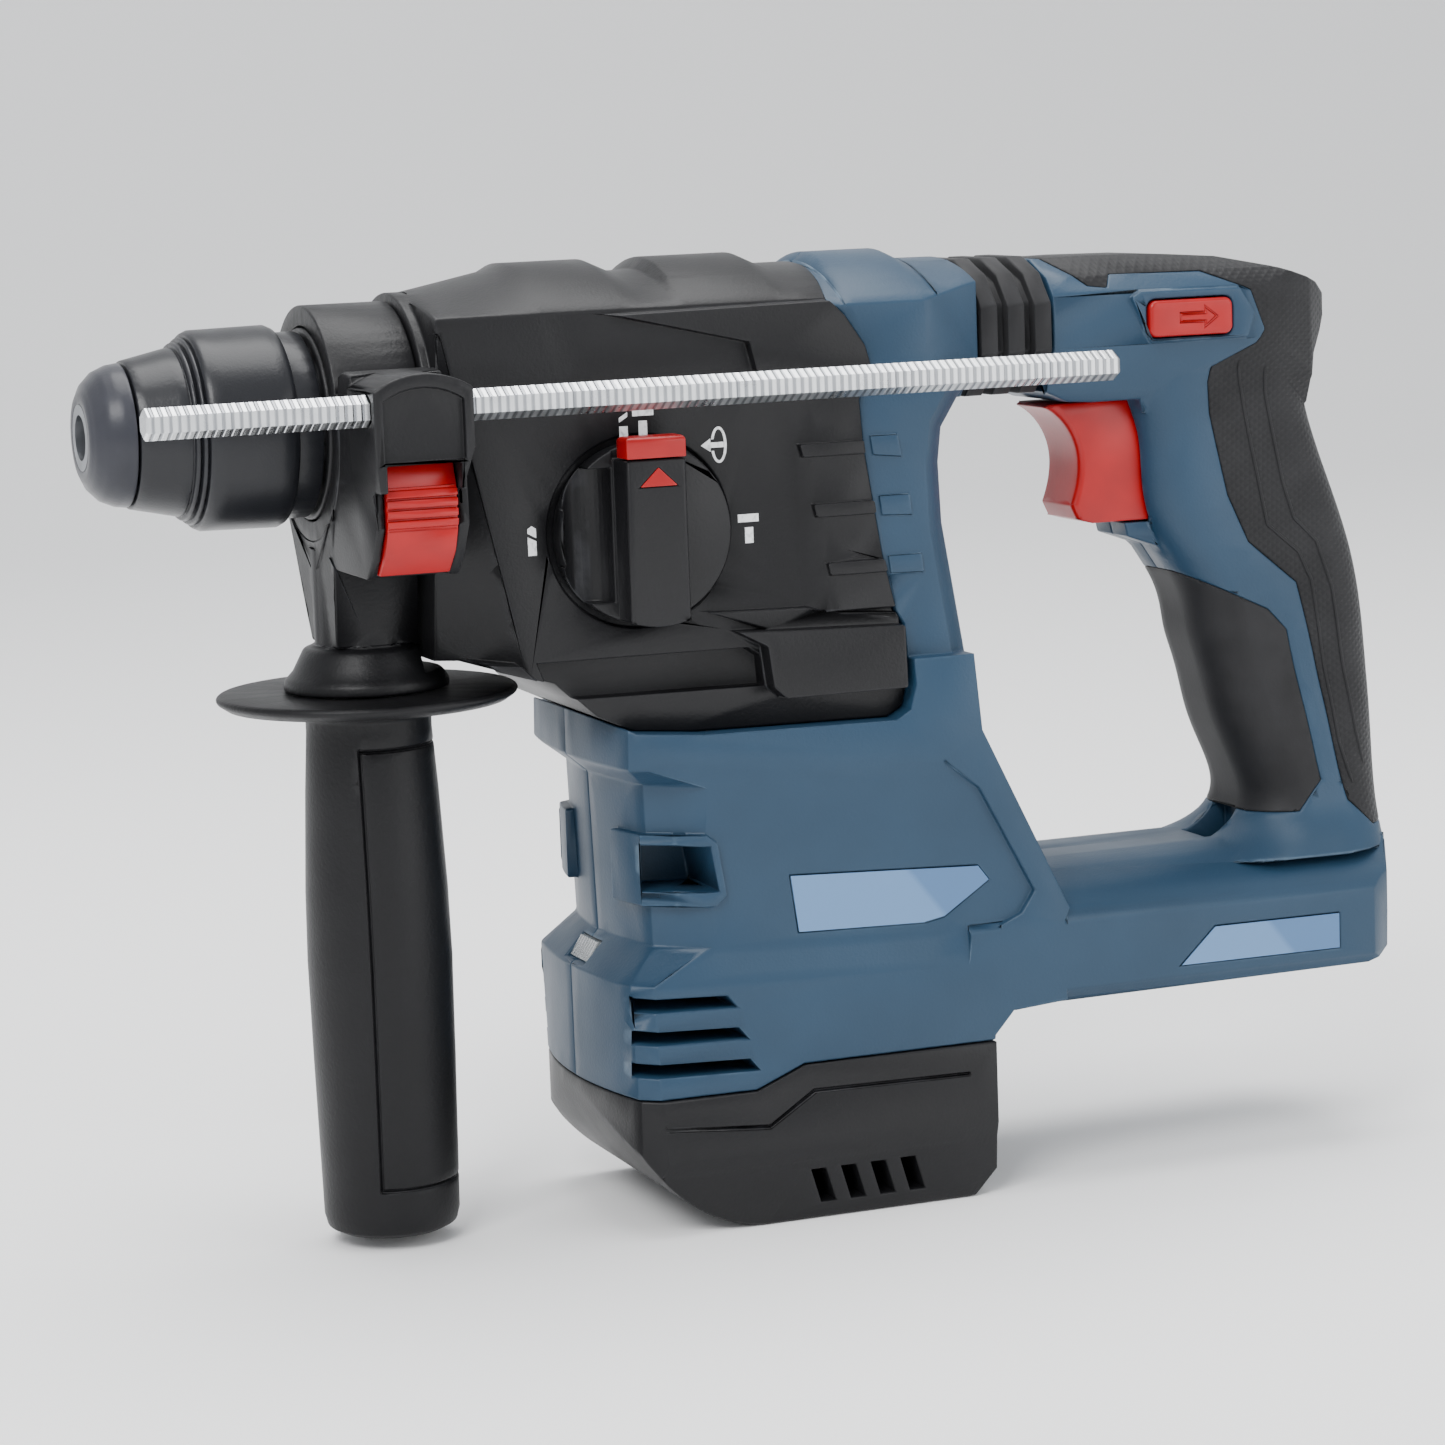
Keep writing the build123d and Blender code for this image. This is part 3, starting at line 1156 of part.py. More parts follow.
keep(axial_ring(10.85, 12.05, 71.1, 72.9), "striker_ring")
keep(make_beat_piece(), "beat_piece")
keep(join(make_crankshaft(), toothed_disc(CRANK_X, CRANK_TEETH, 19.8, 21.9, 0.5, GEAR_BOTTOM,
                                          GEAR_TOP, 4)), "crankshaft")
keep(join(make_idler(), toothed_disc(IDLER_X, IDLER_TEETH, 10.8, 12.9, 0, GEAR_BOTTOM,
                                     GEAR_TOP, 3)), "idler_shaft")
keep(make_motor_rotor(), "motor_rotor")
keep(toothed_disc(MOTOR_X, PINION_TEETH, 2.8, 4.8, 0, GEAR_BOTTOM, GEAR_TOP, 2), "motor_pinion")
keep(make_fan(), "fan")
keep(make_trigger(), "trigger")
keep(coil_along_x(3.0, 0.5, 258.1, 268.4, 4, z=-18), "trigger_spring")
keep(make_direction_button(), "direction_button")
keep(make_mode_knob(), "mode_knob")
keep(side_layer(KNOB_ARROW, -42.2, -43.1, 0.1), "knob_arrow")
keep(make_knob_lock(), "knob_lock_button")
keep(make_clamp_bracket(), "clamp_bracket")
keep(upright_ring(HANDLE_X, 0, BOLT_R, -110, -34), "clamp_bolt")
keep(make_handle_grip(), "handle_grip")
keep(make_grip_nut(), "grip_nut")
keep(make_depth_rod(), "depth_rod")
keep(make_stop_button(), "depth_stop_button")
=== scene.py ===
"""Looks for a cordless rotary hammer: finishes, added detail, studio and camera.

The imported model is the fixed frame. Every length is in metres in the frame of the part:
the origin is the mouth of the tool holder, the bit points to -X and +Z is up.
"""
import logging
import math
from dataclasses import dataclass
from enum import Enum
from typing import Any, Optional, Sequence
import bmesh
import bpy
from mathutils import Matrix, Vector
from mathutils.bvhtree import BVHTree


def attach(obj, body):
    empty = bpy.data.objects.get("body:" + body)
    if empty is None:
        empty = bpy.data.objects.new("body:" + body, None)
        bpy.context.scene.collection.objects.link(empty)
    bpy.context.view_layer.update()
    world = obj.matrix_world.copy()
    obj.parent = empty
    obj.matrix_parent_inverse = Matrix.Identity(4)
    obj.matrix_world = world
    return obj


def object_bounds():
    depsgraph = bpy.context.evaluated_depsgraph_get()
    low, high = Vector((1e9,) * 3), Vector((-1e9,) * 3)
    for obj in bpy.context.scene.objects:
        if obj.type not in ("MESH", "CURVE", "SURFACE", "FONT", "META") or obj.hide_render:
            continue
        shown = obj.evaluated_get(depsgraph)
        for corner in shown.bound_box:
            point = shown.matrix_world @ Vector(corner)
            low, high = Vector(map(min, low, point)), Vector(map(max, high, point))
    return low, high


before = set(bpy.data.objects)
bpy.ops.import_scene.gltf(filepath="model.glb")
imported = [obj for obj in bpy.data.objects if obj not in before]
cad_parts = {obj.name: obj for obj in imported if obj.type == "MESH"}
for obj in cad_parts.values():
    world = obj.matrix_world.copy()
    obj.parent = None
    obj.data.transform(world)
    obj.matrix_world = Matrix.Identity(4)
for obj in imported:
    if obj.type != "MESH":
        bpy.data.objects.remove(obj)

LOG = logging.getLogger("rotary_hammer")
CAD_BOX = [list(corner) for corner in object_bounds()]
MM = 0.001
WELD_GAP = 1e-6
EDGE_ANGLE_DEG = 34.0
ROUNDING_SEGMENTS = 2
BEAD_STEP_MM = 1.5
BEAD_CORNERS = 8
BEAD_FLATNESS = 0.7
BEAD_END = 0.35
OUTSIDE_MM = 60.0
FLOOR_GAP = 0.0003
SENSOR_MM = 36.0

Point = tuple[float, float, float]
Outline = Sequence[tuple[float, float]]


# ---------------------------------------------------------------- colour and nodes
def linear(hex_code: str) -> tuple[float, float, float, float]:
    """Turn an sRGB hex value into a linear colour.

    Args:
        hex_code: colour as "#rrggbb".

    Returns:
        Red, green, blue and alpha for a colour socket.
    """
    digits = hex_code.lstrip("#")
    parts = [int(digits[i:i + 2], 16) / 255 for i in (0, 2, 4)]
    curved = [c / 12.92 if c <= 0.04045 else ((c + 0.055) / 1.055) ** 2.4 for c in parts]
    return curved[0], curved[1], curved[2], 1.0


def per_metre(size_mm: float) -> float:
    """Scale value that makes a pattern repeat every size_mm."""
    return 1.0 / (size_mm * MM)


def add_node(tree: bpy.types.NodeTree, kind: str, inputs: Optional[dict[Any, Any]] = None,
             **settings: Any) -> bpy.types.Node:
    """Add one shader node, set it up and link it.

    Args:
        tree: node tree of the material.
        kind: node type without its "ShaderNode" prefix.
        inputs: socket name or index to a value, or to an output socket to link from.
        settings: properties of the node itself.

    Returns:
        The new node.
    """
    node = tree.nodes.new("ShaderNode" + kind)
    for name, value in settings.items():
        setattr(node, name, value)
    for key, value in (inputs or {}).items():
        socket = node.inputs[key]
        if isinstance(value, bpy.types.NodeSocket):
            tree.links.new(value, socket)
        else:
            socket.default_value = value
    return node


def ramp(tree: bpy.types.NodeTree, source: bpy.types.NodeSocket,
         low: float, high: float) -> bpy.types.NodeSocket:
    """Stretch a value so that low becomes 0 and high becomes 1.

    Args:
        tree: node tree of the material.
        source: value to stretch.
        low: value that becomes 0.
        high: value that becomes 1.

    Returns:
        Output socket between 0 and 1.
    """
    node = add_node(tree, "MapRange", {"Value": source, "From Min": low, "From Max": high})
    return node.outputs["Result"]


def mix_colour(tree: bpy.types.NodeTree, share: Any, first: Any,
               second: Any) -> bpy.types.NodeSocket:
    """Blend two colours.

    Args:
        tree: node tree of the material.
        share: part of the second colour, value or socket.
        first: colour or socket at share 0.
        second: colour or socket at share 1.

    Returns:
        Colour output socket.
    """
    node = add_node(tree, "Mix", {0: share, 6: first, 7: second}, data_type="RGBA")
    return node.outputs[2]


@dataclass(frozen=True)
class Finish:
    """Common part of every finish.

    Attributes:
        name: material name.
        colour: main sRGB colour.
        roughness: roughness of the clean surface.
    """

    name: str
    colour: str
    roughness: float

    def build(self) -> bpy.types.Material:
        """Make the material with its nodes.

        Returns:
            The finished material.
        """
        material = bpy.data.materials.new(self.name)
        material.use_nodes = True
        tree = material.node_tree
        tree.nodes.clear()
        shader = add_node(tree, "BsdfPrincipled",
                          {"Base Color": linear(self.colour), "Roughness": self.roughness})
        place = add_node(tree, "TexCoord").outputs["Object"]
        self.dress(tree, shader, place)
        add_node(tree, "OutputMaterial", {"Surface": shader.outputs["BSDF"]})
        return material

    def dress(self, tree: bpy.types.NodeTree, shader: bpy.types.Node,
              place: bpy.types.NodeSocket) -> None:
        """Add the nodes of this finish.

        Args:
            tree: node tree of the material.
            shader: its principled shader.
            place: coordinates in metres.
        """
        raise NotImplementedError


def noise(tree: bpy.types.NodeTree, place: bpy.types.NodeSocket, size_mm: float,
          detail: float = 2.0, stretch: Optional[Point] = None) -> bpy.types.NodeSocket:
    """Cloudy noise with a real feature size.

    Args:
        tree: node tree of the material.
        place: coordinates in metres.
        size_mm: size of one cloud.
        detail: number of finer layers.
        stretch: factors on the coordinates along X, Y and Z.

    Returns:
        Noise value socket, around 0.5.
    """
    if stretch:
        place = add_node(tree, "Mapping", {"Vector": place, "Scale": stretch}).outputs["Vector"]
    node = add_node(tree, "TexNoise", {"Vector": place, "Scale": per_metre(size_mm),
                                       "Detail": detail})
    return node.outputs["Fac"]


def waves(tree: bpy.types.NodeTree, place: bpy.types.NodeSocket, pitch_mm: float,
          axis: str, distortion: float = 0.0) -> bpy.types.NodeSocket:
    """Even bands with a real pitch.

    Args:
        tree: node tree of the material.
        place: coordinates in metres.
        pitch_mm: distance from one band to the next.
        axis: "X", "Y" or "Z", across the bands.
        distortion: how far the bands wander.

    Returns:
        Value socket between 0 and 1.
    """
    node = add_node(tree, "TexWave", {"Vector": place, "Distortion": distortion,
                                      "Scale": per_metre(pitch_mm) * math.tau / 20.0},
                    bands_direction=axis)
    return node.outputs["Fac"]


def bump(tree: bpy.types.NodeTree, height: bpy.types.NodeSocket, depth_mm: float,
         strength: float = 1.0) -> bpy.types.NodeSocket:
    """Bump with a real depth.

    Args:
        tree: node tree of the material.
        height: pattern between 0 and 1.
        depth_mm: height of the pattern.
        strength: share of the bump.

    Returns:
        Normal output socket.
    """
    node = add_node(tree, "Bump", {"Height": height, "Distance": depth_mm * MM,
                                   "Strength": strength})
    return node.outputs["Normal"]


def worn_edges(tree: bpy.types.NodeTree, place: bpy.types.NodeSocket,
               reach_mm: float) -> bpy.types.NodeSocket:
    """Mask of the outer edges that hands and benches rub.

    Args:
        tree: node tree of the material.
        place: coordinates in metres.
        reach_mm: distance from the edge that still counts.

    Returns:
        Mask socket, 1 on an edge.
    """
    inside = add_node(tree, "AmbientOcclusion", {"Distance": reach_mm * MM}, samples=6,
                      inside=True, only_local=True).outputs["AO"]
    edge = ramp(tree, inside, 0.78, 0.52)
    patches = ramp(tree, noise(tree, place, 6.0, 3.0), 0.38, 0.62)
    return add_node(tree, "Math", {0: edge, 1: patches}, operation="MULTIPLY").outputs[0]


@dataclass(frozen=True)
class MouldedNylon(Finish):
    """Glass-filled polyamide, injection moulded in a spark-eroded tool.

    The tool leaves a fine even grain that breaks up the highlights; edges are rubbed
    a little lighter.

    Attributes:
        grain_mm: size of one grain, coarser than life so that it shows.
        grain_depth_mm: depth of the grain.
        wear: how much lighter the rubbed edges are.
        worn_colour: colour of the rubbed edges.
        shine: strength of the reflections.
    """

    grain_mm: float = 0.75
    grain_depth_mm: float = 0.05
    wear: float = 0.5
    worn_colour: str = "#8d9aa8"
    shine: float = 0.36

    def dress(self, tree: bpy.types.NodeTree, shader: bpy.types.Node,
              place: bpy.types.NodeSocket) -> None:
        """Add grain, slow colour drift and rubbed edges."""
        drift = ramp(tree, noise(tree, place, 28.0, 3.0), 0.3, 0.7)
        base = linear(self.colour)
        darker = tuple(c * 0.86 for c in base[:3]) + (1.0,)
        body = mix_colour(tree, drift, darker, base)
        edge = worn_edges(tree, place, 0.9)
        share = add_node(tree, "Math", {0: edge, 1: self.wear}, operation="MULTIPLY").outputs[0]
        colour = mix_colour(tree, share, body, linear(self.worn_colour))
        tree.links.new(colour, shader.inputs["Base Color"])
        cells = add_node(tree, "TexVoronoi", {"Vector": place, "Scale": per_metre(self.grain_mm)},
                         feature="SMOOTH_F1").outputs["Distance"]
        fine = noise(tree, place, self.grain_mm * 0.6, 1.0)
        grain = add_node(tree, "Math", {0: cells, 1: fine}, operation="ADD").outputs[0]
        tree.links.new(bump(tree, grain, self.grain_depth_mm, 0.55), shader.inputs["Normal"])
        polish = add_node(tree, "MapRange", {"Value": drift, "To Min": self.roughness + 0.05,
                                             "To Max": self.roughness - 0.04}).outputs["Result"]
        tree.links.new(polish, shader.inputs["Roughness"])
        shader.inputs["Specular IOR Level"].default_value = self.shine


@dataclass(frozen=True)
class SoftElastomer(Finish):
    """Thermoplastic elastomer skin moulded over the hard shell.

    It is duller than the shell, with a faint bloom at grazing angles.

    Attributes:
        speckle_mm: size of the matte speckle.
    """

    speckle_mm: float = 0.8

    def dress(self, tree: bpy.types.NodeTree, shader: bpy.types.Node,
              place: bpy.types.NodeSocket) -> None:
        """Add matte speckle, bloom and slight handling marks."""
        marks = ramp(tree, noise(tree, place, 14.0, 4.0), 0.35, 0.7)
        base = linear(self.colour)
        dusty = tuple(c * 1.35 + 0.004 for c in base[:3]) + (1.0,)
        tree.links.new(mix_colour(tree, marks, base, dusty), shader.inputs["Base Color"])
        speckle = noise(tree, place, self.speckle_mm, 2.0)
        tree.links.new(bump(tree, speckle, 0.05, 0.5), shader.inputs["Normal"])
        shader.inputs["Sheen Weight"].default_value = 0.04
        shader.inputs["Sheen Roughness"].default_value = 0.5
        shader.inputs["Specular IOR Level"].default_value = 0.25


@dataclass(frozen=True)
class KnurledElastomer(SoftElastomer):
    """Elastomer with a raised diamond pattern that stops the hand from slipping.

    Attributes:
        pitch_mm: distance between the pattern lines.
    """

    pitch_mm: float = 1.5

    def dress(self, tree: bpy.types.NodeTree, shader: bpy.types.Node,
              place: bpy.types.NodeSocket) -> None:
        """Add crossing lines over the soft skin."""
        super().dress(tree, shader, place)
        lines = []
        for angle in (52.0, -52.0):
            turned = add_node(tree, "Mapping", {"Vector": place,
                                                "Rotation": (0.0, math.radians(angle), 0.0)})
            lines.append(waves(tree, turned.outputs["Vector"], self.pitch_mm, "X"))
        both = add_node(tree, "Math", {0: lines[0], 1: lines[1]}, operation="MAXIMUM").outputs[0]
        tree.links.new(bump(tree, both, 0.18, 0.7), shader.inputs["Normal"])


@dataclass(frozen=True)
class GlossyAbs(Finish):
    """Pigmented ABS from a polished mould: bright, with a faint orange-peel surface."""

    def dress(self, tree: bpy.types.NodeTree, shader: bpy.types.Node,
              place: bpy.types.NodeSocket) -> None:
        """Add orange peel, slow colour drift and paler rubbed edges."""
        base = linear(self.colour)
        deep = tuple(c * 0.8 for c in base[:3]) + (1.0,)
        body = mix_colour(tree, ramp(tree, noise(tree, place, 9.0, 2.0), 0.3, 0.7), deep, base)
        edge = worn_edges(tree, place, 0.5)
        share = add_node(tree, "Math", {0: edge, 1: 0.35}, operation="MULTIPLY").outputs[0]
        tree.links.new(mix_colour(tree, share, body, linear("#c23d38")),
                       shader.inputs["Base Color"])
        peel = noise(tree, place, 1.6, 1.0)
        tree.links.new(bump(tree, peel, 0.04, 0.35), shader.inputs["Normal"])
        shader.inputs["Specular IOR Level"].default_value = 0.34
        shader.inputs["Coat Weight"].default_value = 0.08
        shader.inputs["Coat Roughness"].default_value = 0.25


class MetalLay(Enum):
    """Direction of the tool marks on a metal surface."""

    TURNED = (0.04, 1.0, 1.0)
    UPRIGHT = (1.0, 1.0, 0.04)


@dataclass(frozen=True)
class BareMetal(Finish):
    """Machined or plated steel with fine tool marks.

    The marks pull the highlight out along the surface; slow patches of roughness
    stand for handling and oil.

    Attributes:
        lay: direction of the marks.
        mark_mm: spacing of the marks, coarser than life so that it shows.
        stain: colour of the slightly tarnished patches.
    """

    lay: MetalLay = MetalLay.TURNED
    mark_mm: float = 0.5
    stain: str = "#6f6a63"

    def dress(self, tree: bpy.types.NodeTree, shader: bpy.types.Node,
              place: bpy.types.NodeSocket) -> None:
        """Add tool marks, patches and a touch of tarnish."""
        shader.inputs["Metallic"].default_value = 1.0
        patches = ramp(tree, noise(tree, place, 7.0, 4.0), 0.35, 0.75)
        share = add_node(tree, "Math", {0: patches, 1: 0.22}, operation="MULTIPLY").outputs[0]
        tree.links.new(mix_colour(tree, share, linear(self.colour), linear(self.stain)),
                       shader.inputs["Base Color"])
        marks = noise(tree, place, self.mark_mm, 2.0, self.lay.value)
        tree.links.new(bump(tree, marks, 0.015, 0.5), shader.inputs["Normal"])
        rough = add_node(tree, "MapRange", {"Value": patches, "To Min": self.roughness,
                                            "To Max": self.roughness + 0.14}).outputs["Result"]
        tree.links.new(rough, shader.inputs["Roughness"])


@dataclass(frozen=True)
class RolledTeeth(BareMetal):
    """Zinc-plated bar with fine teeth rolled across it, with painted shade darkening their roots.

    Attributes:
        pitch_mm: distance from tooth to tooth.
    """

    pitch_mm: float = 1.9

    def dress(self, tree: bpy.types.NodeTree, shader: bpy.types.Node,
              place: bpy.types.NodeSocket) -> None:
        """Add the teeth over the plated surface, with painted shade in their roots."""
        super().dress(tree, shader, place)
        teeth = ramp(tree, waves(tree, place, self.pitch_mm, "X"), 0.1, 0.55)
        # painted shade: the tooth pattern also mixes the colour toward a darker grey in the roots,
        # where shade would fall
        tree.links.new(mix_colour(tree, teeth, linear("#a4a7ac"), linear(self.colour)),
                       shader.inputs["Base Color"])
        tree.links.new(bump(tree, teeth, 0.25, 0.7), shader.inputs["Normal"])


@dataclass(frozen=True)
class WoundCopper(Finish):
    """Enamelled copper wire wound in close turns: warm, ribbed and slightly glossy, with painted
    shade between the turns.
    """

    def dress(self, tree: bpy.types.NodeTree, shader: bpy.types.Node,
              place: bpy.types.NodeSocket) -> None:
        """Add the turns of wire, with painted shade in the grooves between them."""
        shader.inputs["Metallic"].default_value = 0.8
        turns = waves(tree, place, 0.9, "Z", 1.2)
        # painted shade: the colour runs toward dark brown in the grooves between the turns, where
        # shade would fall
        shade = mix_colour(tree, turns, linear("#6b3517"), linear(self.colour))
        tree.links.new(shade, shader.inputs["Base Color"])
        tree.links.new(bump(tree, turns, 0.2), shader.inputs["Normal"])


@dataclass(frozen=True)
class StackedSheet(Finish):
    """Electrical steel sheets stacked into a core: grey with fine level lines."""

    def dress(self, tree: bpy.types.NodeTree, shader: bpy.types.Node,
              place: bpy.types.NodeSocket) -> None:
        """Add the sheet lines."""
        shader.inputs["Metallic"].default_value = 0.85
        lines = waves(tree, place, 0.8, "Z")
        shade = mix_colour(tree, lines, linear("#2e2f31"), linear(self.colour))
        tree.links.new(shade, shader.inputs["Base Color"])
        tree.links.new(bump(tree, lines, 0.1), shader.inputs["Normal"])


@dataclass(frozen=True)
class PrintedFilm(Finish):
    """Pale blue polyester film, printed and laminated: smooth, with a slanted tone step.

    Attributes:
        second: colour of the other tone.
    """

    second: str = "#466a94"

    def dress(self, tree: bpy.types.NodeTree, shader: bpy.types.Node,
              place: bpy.types.NodeSocket) -> None:
        """Add the slanted tones and the faint weave of the laminate."""
        slant = add_node(tree, "Mapping", {"Vector": place,
                                           "Rotation": (0.0, math.radians(38.0), 0.0)})
        bands = waves(tree, slant.outputs["Vector"], 60.0, "X")
        tree.links.new(mix_colour(tree, ramp(tree, bands, 0.46, 0.54), linear(self.colour),
                                  linear(self.second)), shader.inputs["Base Color"])
        tree.links.new(bump(tree, noise(tree, place, 1.1, 1.0), 0.02, 0.3),
                       shader.inputs["Normal"])


@dataclass(frozen=True)
class PadPrintedInk(Finish):
    """White pad-printed ink: flat, thin and very slightly uneven at the edges."""

    def dress(self, tree: bpy.types.NodeTree, shader: bpy.types.Node,
              place: bpy.types.NodeSocket) -> None:
        """Add uneven ink cover."""
        cover = ramp(tree, noise(tree, place, 1.2, 3.0), 0.25, 0.5)
        tree.links.new(mix_colour(tree, cover, linear("#a9abad"), linear(self.colour)),
                       shader.inputs["Base Color"])


@dataclass(frozen=True)
class ClearPolycarbonate(Finish):
    """Clear polycarbonate lens from a polished mould, with faint prism lines."""

    def dress(self, tree: bpy.types.NodeTree, shader: bpy.types.Node,
              place: bpy.types.NodeSocket) -> None:
        """Add prism lines and let the light through."""
        shader.inputs["Transmission Weight"].default_value = 0.75
        shader.inputs["IOR"].default_value = 1.58
        lines = waves(tree, place, 1.5, "Y")
        tree.links.new(bump(tree, lines, 0.15, 0.6), shader.inputs["Normal"])


@dataclass(frozen=True)
class SolderMask(Finish):
    """Green solder mask over copper tracks: satin, with a faint raised track pattern."""

    def dress(self, tree: bpy.types.NodeTree, shader: bpy.types.Node,
              place: bpy.types.NodeSocket) -> None:
        """Add the tracks."""
        tracks = add_node(tree, "TexBrick", {"Vector": place, "Scale": per_metre(6.0),
                                             "Mortar Size": 0.06,
                                             "Color1": linear(self.colour),
                                             "Color2": linear("#1a4a31"),
                                             "Mortar": linear("#3b7a55")})
        tree.links.new(tracks.outputs["Color"], shader.inputs["Base Color"])
        tree.links.new(bump(tree, tracks.outputs["Fac"], 0.05, 0.6), shader.inputs["Normal"])


@dataclass(frozen=True)
class StudioPaper(Finish):
    """Matte white paper sweep under and behind the tool."""

    def dress(self, tree: bpy.types.NodeTree, shader: bpy.types.Node,
              place: bpy.types.NodeSocket) -> None:
        """Add the faint tooth of the paper."""
        tree.links.new(bump(tree, noise(tree, place, 3.0, 2.0), 0.05, 0.3),
                       shader.inputs["Normal"])


class Palette:
    """Every finish of the tool, made once."""

    def __init__(self) -> None:
        """Build all the materials."""
        self.blue = MouldedNylon("moulded_blue_nylon", "#1f3a50", 0.44, worn_colour="#6f8496",
                                 wear=0.35).build()
        self.case = MouldedNylon("moulded_black_nylon", "#151517", 0.42, shine=0.27, grain_mm=0.85,
                                 grain_depth_mm=0.06, wear=0.3, worn_colour="#3f4045").build()
        self.grip = MouldedNylon("moulded_black_grip", "#121214", 0.46, shine=0.24, grain_mm=1.0,
                                 grain_depth_mm=0.08, wear=0.25, worn_colour="#37383c").build()
        self.sleeve = MouldedNylon("turned_black_acetal", "#191a1e", 0.34, shine=0.34,
                                   grain_mm=0.6, grain_depth_mm=0.03, wear=0.25,
                                   worn_colour="#46484e").build()
        self.skin = SoftElastomer("overmoulded_elastomer", "#161618", 0.58).build()
        self.knurled = KnurledElastomer("hatched_elastomer", "#141416", 0.55).build()
        self.nose = SoftElastomer("nitrile_dust_cap", "#2b2c32", 0.32).build()
        self.red = GlossyAbs("polished_red_abs", "#a20409", 0.34).build()
        self.zinc = RolledTeeth("zinc_plated_rolled_steel", "#eceef0", 0.26,
                                MetalLay.TURNED, stain="#c2c5ca").build()
        self.steel = BareMetal("ground_steel", "#8f9297", 0.32, MetalLay.TURNED).build()
        self.bearing = BareMetal("polished_bearing_steel", "#c4c6c9", 0.18,
                                 MetalLay.UPRIGHT).build()
        self.copper = WoundCopper("wound_copper_wire", "#b9703c", 0.35).build()
        self.core = StackedSheet("stacked_core_sheet", "#6a6c70", 0.45).build()
        self.film = PrintedFilm("laminated_label_film", "#5b7fa8", 0.36).build()
        self.ink = PadPrintedInk("pad_printed_white", "#e4e5e6", 0.55).build()
        self.lens = ClearPolycarbonate("clear_polycarbonate", "#eef3f6", 0.08).build()
        self.board = SolderMask("green_solder_mask", "#1f5c3c", 0.4).build()
        self.paper = StudioPaper("matte_paper_sweep", "#fbfbfb", 0.9).build()


# ---------------------------------------------------------------- mesh helpers
def soften(name: str, width_mm: float) -> None:
    """Round the sharp edges of a carried-over piece with modifiers and shade it smooth.

    Args:
        name: node of the part.
        width_mm: width of the rounding.
    """
    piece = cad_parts[name]
    weld = piece.modifiers.new("weld", "WELD")
    weld.merge_threshold = WELD_GAP
    rounding = piece.modifiers.new("rounding", "BEVEL")
    rounding.width = width_mm * MM
    rounding.segments = ROUNDING_SEGMENTS
    rounding.limit_method = "ANGLE"
    rounding.angle_limit = math.radians(EDGE_ANGLE_DEG)
    rounding.use_clamp_overlap = False
    rounding.harden_normals = True
    for face in piece.data.polygons:
        face.use_smooth = True


def dress(material: bpy.types.Material, *names: str, width_mm: float = 0.0) -> None:
    """Give carried-over pieces their finish.

    Args:
        material: finish of the pieces.
        names: nodes of the part.
        width_mm: rounding of the sharp edges.
    """
    for name in names:
        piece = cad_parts[name]
        piece.data.materials.clear()
        piece.data.materials.append(material)
        if width_mm > 0:
            soften(name, width_mm)
        LOG.info("dressed %s in %s", name, material.name)


def trace_line(line: Outline, node: str, side: int) -> list[Vector]:
    """Drop a side-view line onto the side of a carried-over piece.

    Args:
        line: points of the line in side view, in mm.
        node: node of the part that the line lands on.
        side: -1 for the near side, 1 for the far side.

    Returns:
        Points on the surface, in metres.
    """
    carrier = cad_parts[node].data
    tree = BVHTree.FromPolygons([v.co for v in carrier.vertices],
                                [tuple(p.vertices) for p in carrier.polygons])
    path = []
    for (x0, z0), (x1, z1) in zip(line, line[1:]):
        steps = max(2, int(math.hypot(x1 - x0, z1 - z0) / BEAD_STEP_MM))
        for step in range(steps):
            share = step / steps
            start = Vector((x0 + (x1 - x0) * share, side * OUTSIDE_MM,
                            z0 + (z1 - z0) * share)) * MM
            hit = tree.ray_cast(start, Vector((0.0, -side, 0.0)))[0]
            if hit is not None:
                path.append(hit)
    return path


def lay_bead(name: str, line: Outline, node: str, side: int, radius_mm: float,
             material: bpy.types.Material) -> Optional[bpy.types.Object]:
    """Lay a thin raised ridge on the side of a carried-over piece.

    Args:
        name: name of the new piece.
        line: points of the ridge in side view, in mm.
        node: node of the part that carries the ridge.
        side: -1 for the near side, 1 for the far side.
        radius_mm: radius of the ridge, half of which shows.
        material: its finish.

    Returns:
        The new piece, or nothing when the line misses the node.
    """
    path = trace_line(line, node, side)
    if len(path) < 4:
        LOG.warning("%s misses %s", name, node)
        return None
    mesh = bpy.data.meshes.new(name)
    body_mesh = bmesh.new()
    rings = []
    for index, centre in enumerate(path):
        ahead = path[min(index + 1, len(path) - 1)] - path[max(index - 1, 0)]
        across = ahead.cross(Vector((0.0, 1.0, 0.0))).normalized()
        out = across.cross(ahead).normalized()
        end = BEAD_END if index in (0, len(path) - 1) else 1.0
        ring = []
        for corner in range(BEAD_CORNERS):
            turn = math.tau * corner / BEAD_CORNERS
            offset = across * math.cos(turn) + out * (math.sin(turn) * BEAD_FLATNESS)
            ring.append(body_mesh.verts.new(centre + offset * radius_mm * MM * end))
        rings.append(ring)
    for first, second in zip(rings, rings[1:]):
        for corner in range(BEAD_CORNERS):
            other = (corner + 1) % BEAD_CORNERS
            body_mesh.faces.new((first[corner], first[other], second[other], second[corner]))
    body_mesh.faces.new(rings[0])
    body_mesh.faces.new(rings[-1])
    bmesh.ops.recalc_face_normals(body_mesh, faces=body_mesh.faces)
    body_mesh.to_mesh(mesh)
    body_mesh.free()
    for face in mesh.polygons:
        face.use_smooth = True
    mesh.materials.append(material)
    bead = bpy.data.objects.new(name, mesh)
    bpy.context.scene.collection.objects.link(bead)
    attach(bead, "housing")
    return bead


